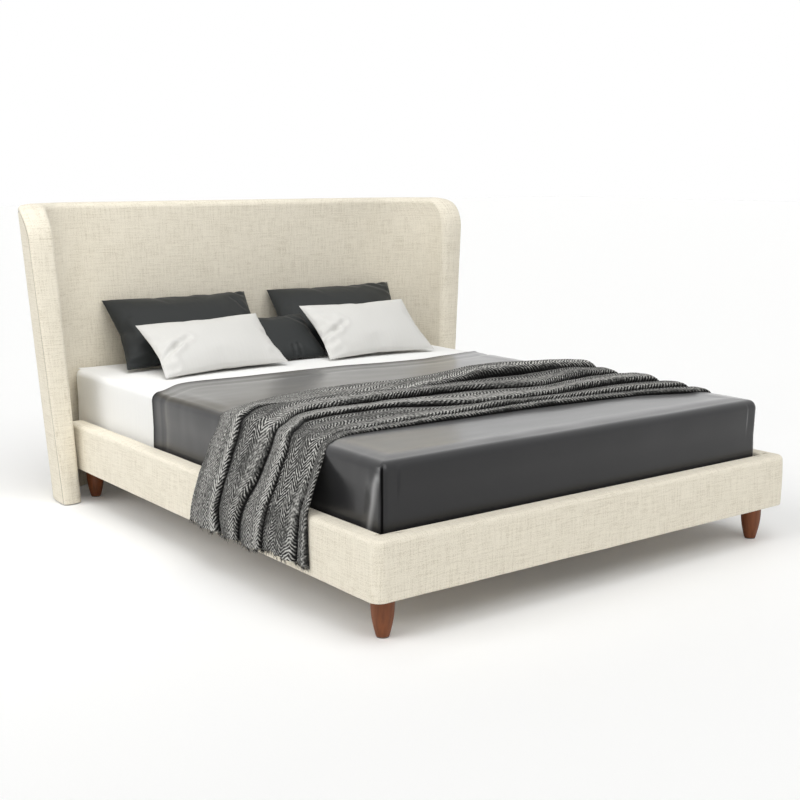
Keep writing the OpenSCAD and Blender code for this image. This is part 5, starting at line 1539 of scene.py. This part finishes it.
NODE_FINISH = {
    "pine": (
        "side_rail_board_left", "side_rail_board_right", "slat_ledge_left", "slat_ledge_right",
        "corner_blocks",
    ),
    "pine_cross": ("foot_rail_board", "head_crossbar", "headboard_rails"),
    "pine_upright": ("headboard_posts", "wing_stile_left", "wing_stile_right"),
    "birch": ("slats_left", "slats_right", "wing_ribs_left", "wing_ribs_right"),
    "steel": (
        "centre_beam", "centre_leg_foot", "centre_leg_middle", "centre_leg_head",
        "headboard_bracket_left", "headboard_bracket_right",
    ),
    "zinc": ("leg_bolts", "frame_bolts", "corner_brackets", "beam_hangers"),
    "black_plastic": (
        "slat_caps_left", "slat_caps_right", "headboard_glides",
        "levelling_foot_foot", "levelling_foot_middle", "levelling_foot_head",
    ),
    "felt": ("felt_pads",),
    "lining": ("headboard_back",),
}


def finish(name):
    return FINISHES[name]


def finish_nodes():
    for name, members in NODE_FINISH.items():
        for member in members:
            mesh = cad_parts[member].data
            mesh.materials.clear()
            mesh.materials.append(finish(name))


# Studio

CAMERA_PLACE = (-2.645, -3.602, 1.215)
CAMERA_TURN = (79.72, 0.0, -36.94)
CAMERA_LENS, SENSOR = 57.015, 36.0
FLOOR_HALF, FLOOR_GLOW, SKY_LIGHT = 40.0, 0.04, 0.27
# Far lamps: the way that each shines from, its level on a white matt face, and its width in degrees
LAMPS = (
    ("left softbox", (-0.8, 0.15, 0.58), 0.38, 40),
    ("overhead softbox", (-0.05, -0.42, 0.9), 0.52, 60),
    ("front softbox", (-0.15, -0.9, 0.4), 0.12, 80),
)
# A low softbox over the bed, in front of the headboard
PANEL_PLACE, PANEL_TILT, PANEL_SIZE, PANEL_POWER = (-0.85, -0.35, 1.95), 58, (1.2, 0.7), 8.8


def seen_directly(tree):
    """1 for rays that end in the camera, also by way of a mirror or glass, and 0 for the others."""
    path = node(tree, "LightPath").outputs
    bent = node(tree, "Math", (path["Is Glossy Ray"], path["Is Transmission Ray"]), operation="MAXIMUM")
    return node(tree, "Math", (path["Is Camera Ray"], bent), operation="MAXIMUM")


def studio_floor():
    """Pale painted floor: nearly white to the camera, and it keeps the bed's soft shadow."""
    material, tree, shader, _, (grain,) = new_material(
        "studio floor, matt white paint", ((4 * MM,) * 3, 2, 0.6), cloth=False
    )
    colour = node(tree, "ValToRGB", (grain,), [(0.2, linear("#F2F2F1")), (0.8, linear("#F5F5F4"))])
    node(tree, shader, {"Base Color": colour, "Roughness": 0.6})
    level = node(tree, "Math", (seen_directly(tree), FLOOR_GLOW), operation="MULTIPLY")
    glow = node(tree, "Emission", {"Color": rgba((1, 1, 1)), "Strength": level})
    node(tree, tree.nodes["Material Output"], {"Surface": node(tree, "AddShader", (shader, glow))})
    return material


def add_stage(context):
    scene = context.scene
    scene.view_settings.view_transform = "Standard"
    camera = bpy.data.objects.new("camera", bpy.data.cameras.new("camera"))
    camera.data.sensor_width, camera.data.lens = SENSOR, CAMERA_LENS
    camera.location = CAMERA_PLACE
    camera.rotation_euler = [math.radians(a) for a in CAMERA_TURN]
    scene.collection.objects.link(camera)
    scene.camera = camera

    s = FLOOR_HALF
    mesh = bpy.data.meshes.new("studio_floor")
    mesh.from_pydata([(-s, -s, 0), (s, -s, 0), (s, s, 0), (-s, s, 0)], [], [(0, 1, 2, 3)])
    floor = bpy.data.objects.new("studio_floor", mesh)
    mesh.materials.append(studio_floor())
    scene.collection.objects.link(floor)

    scene.world = bpy.data.worlds.new("studio")
    scene.world.use_nodes = True
    tree = scene.world.node_tree
    sky = node(tree, "MapRange", {"Value": seen_directly(tree), "To Min": SKY_LIGHT, "To Max": 1.0})
    node(tree, tree.nodes["Background"], {"Color": rgba((1, 1, 1)), "Strength": sky})

    for name, way, level, width in LAMPS:
        light = bpy.data.lights.new(name, "SUN")
        light.energy, light.angle = level * math.pi, math.radians(width)
        lamp = bpy.data.objects.new(name, light)
        lamp.location = [3 * c for c in way]
        lamp.rotation_euler = Vector(way).to_track_quat("Z", "Y").to_euler()
        scene.collection.objects.link(lamp)
    panel = bpy.data.lights.new("headboard softbox", "AREA")
    panel.shape, panel.energy = "RECTANGLE", PANEL_POWER
    panel.size, panel.size_y = PANEL_SIZE
    lamp = bpy.data.objects.new("headboard softbox", panel)
    lamp.location, lamp.rotation_euler = PANEL_PLACE, (math.radians(PANEL_TILT), 0, 0)
    scene.collection.objects.link(lamp)


# Operators and panel

class BED_OT_finishes(bpy.types.Operator):
    """Makes the materials and gives the hard parts theirs"""

    bl_idname = "bed.finishes"
    bl_label = "Finishes"
    bl_options = {"REGISTER", "UNDO"}

    def execute(self, context):
        make_finishes(context)
        finish_nodes()
        return {"FINISHED"}


class BED_OT_headboard(bpy.types.Operator):
    """Adds the headboard's cover and the wings' outer skins"""

    bl_idname = "bed.headboard"
    bl_label = "Headboard cover"
    bl_options = {"REGISTER", "UNDO"}

    def execute(self, context):
        add_headboard(context)
        return {"FINISHED"}


class BED_OT_rails(bpy.types.Operator):
    """Adds the padded covers of the three rails"""

    bl_idname = "bed.rails"
    bl_label = "Rail covers"
    bl_options = {"REGISTER", "UNDO"}

    def execute(self, context):
        add_rails(context)
        return {"FINISHED"}


class BED_OT_legs(bpy.types.Operator):
    """Adds the four turned legs"""

    bl_idname = "bed.legs"
    bl_label = "Legs"
    bl_options = {"REGISTER", "UNDO"}

    def execute(self, context):
        add_legs(context)
        return {"FINISHED"}


class BED_OT_mattress(bpy.types.Operator):
    """Adds the mattress"""

    bl_idname = "bed.mattress"
    bl_label = "Mattress"
    bl_options = {"REGISTER", "UNDO"}

    def execute(self, context):
        add_mattress(context)
        return {"FINISHED"}


class BED_OT_fitted_sheet(bpy.types.Operator):
    """Adds the white fitted sheet"""

    bl_idname = "bed.fitted_sheet"
    bl_label = "Fitted sheet"
    bl_options = {"REGISTER", "UNDO"}

    def execute(self, context):
        add_fitted_sheet(context)
        return {"FINISHED"}


class BED_OT_flat_sheet(bpy.types.Operator):
    """Adds the grey flat sheet with its hem and tucked corners"""

    bl_idname = "bed.flat_sheet"
    bl_label = "Flat sheet"
    bl_options = {"REGISTER", "UNDO"}

    def execute(self, context):
        add_flat_sheet(context)
        return {"FINISHED"}


class BED_OT_throw(bpy.types.Operator):
    """Adds the herringbone throw and its fringe"""

    bl_idname = "bed.throw"
    bl_label = "Throw"
    bl_options = {"REGISTER", "UNDO"}

    def execute(self, context):
        add_throw(context)
        return {"FINISHED"}


class BED_OT_pillows(bpy.types.Operator):
    """Adds the pillows and cushions, filled by cloth simulation"""

    bl_idname = "bed.pillows"
    bl_label = "Pillows"
    bl_options = {"REGISTER", "UNDO"}

    def execute(self, context):
        add_pillows(context)
        return {"FINISHED"}


class BED_OT_stage(bpy.types.Operator):
    """Adds the camera, the lights and the floor"""

    bl_idname = "bed.stage"
    bl_label = "Studio"
    bl_options = {"REGISTER", "UNDO"}

    def execute(self, context):
        add_stage(context)
        return {"FINISHED"}


# In the order in which the bed is made
OPERATORS = (
    BED_OT_finishes, BED_OT_headboard, BED_OT_rails, BED_OT_legs,
    BED_OT_mattress, BED_OT_fitted_sheet, BED_OT_flat_sheet, BED_OT_throw,
    BED_OT_pillows, BED_OT_stage,
)


class BED_PT_panel(bpy.types.Panel):
    """Lists the bed's pieces, sizes and colours"""

    bl_label = "Upholstered Bed"
    bl_idname = "BED_PT_panel"
    bl_space_type = "VIEW_3D"
    bl_region_type = "UI"
    bl_category = "Bed"

    def draw(self, context):
        column = self.layout.column()
        for group in (context.scene.bed_sizes, context.scene.bed_colours):
            for name in group.__annotations__:
                column.prop(group, name)
        for operator in OPERATORS:
            column.operator(operator.bl_idname)


CLASSES = (BedColours, BedSizes, *OPERATORS, BED_PT_panel)


def register():
    for cls in CLASSES:
        bpy.utils.register_class(cls)
    bpy.types.Scene.bed_colours = bpy.props.PointerProperty(type=BedColours)
    bpy.types.Scene.bed_sizes = bpy.props.PointerProperty(type=BedSizes)


def unregister():
    del bpy.types.Scene.bed_sizes
    del bpy.types.Scene.bed_colours
    for cls in reversed(CLASSES):
        bpy.utils.unregister_class(cls)


def main():
    register()
    bpy.ops.bed.finishes()
    bpy.ops.bed.headboard()
    bpy.ops.bed.rails()
    bpy.ops.bed.legs()
    bpy.ops.bed.mattress()
    bpy.ops.bed.fitted_sheet()
    bpy.ops.bed.flat_sheet()
    bpy.ops.bed.throw()
    bpy.ops.bed.pillows()
    bpy.ops.bed.stage()


if __name__ == "__main__":
    main()
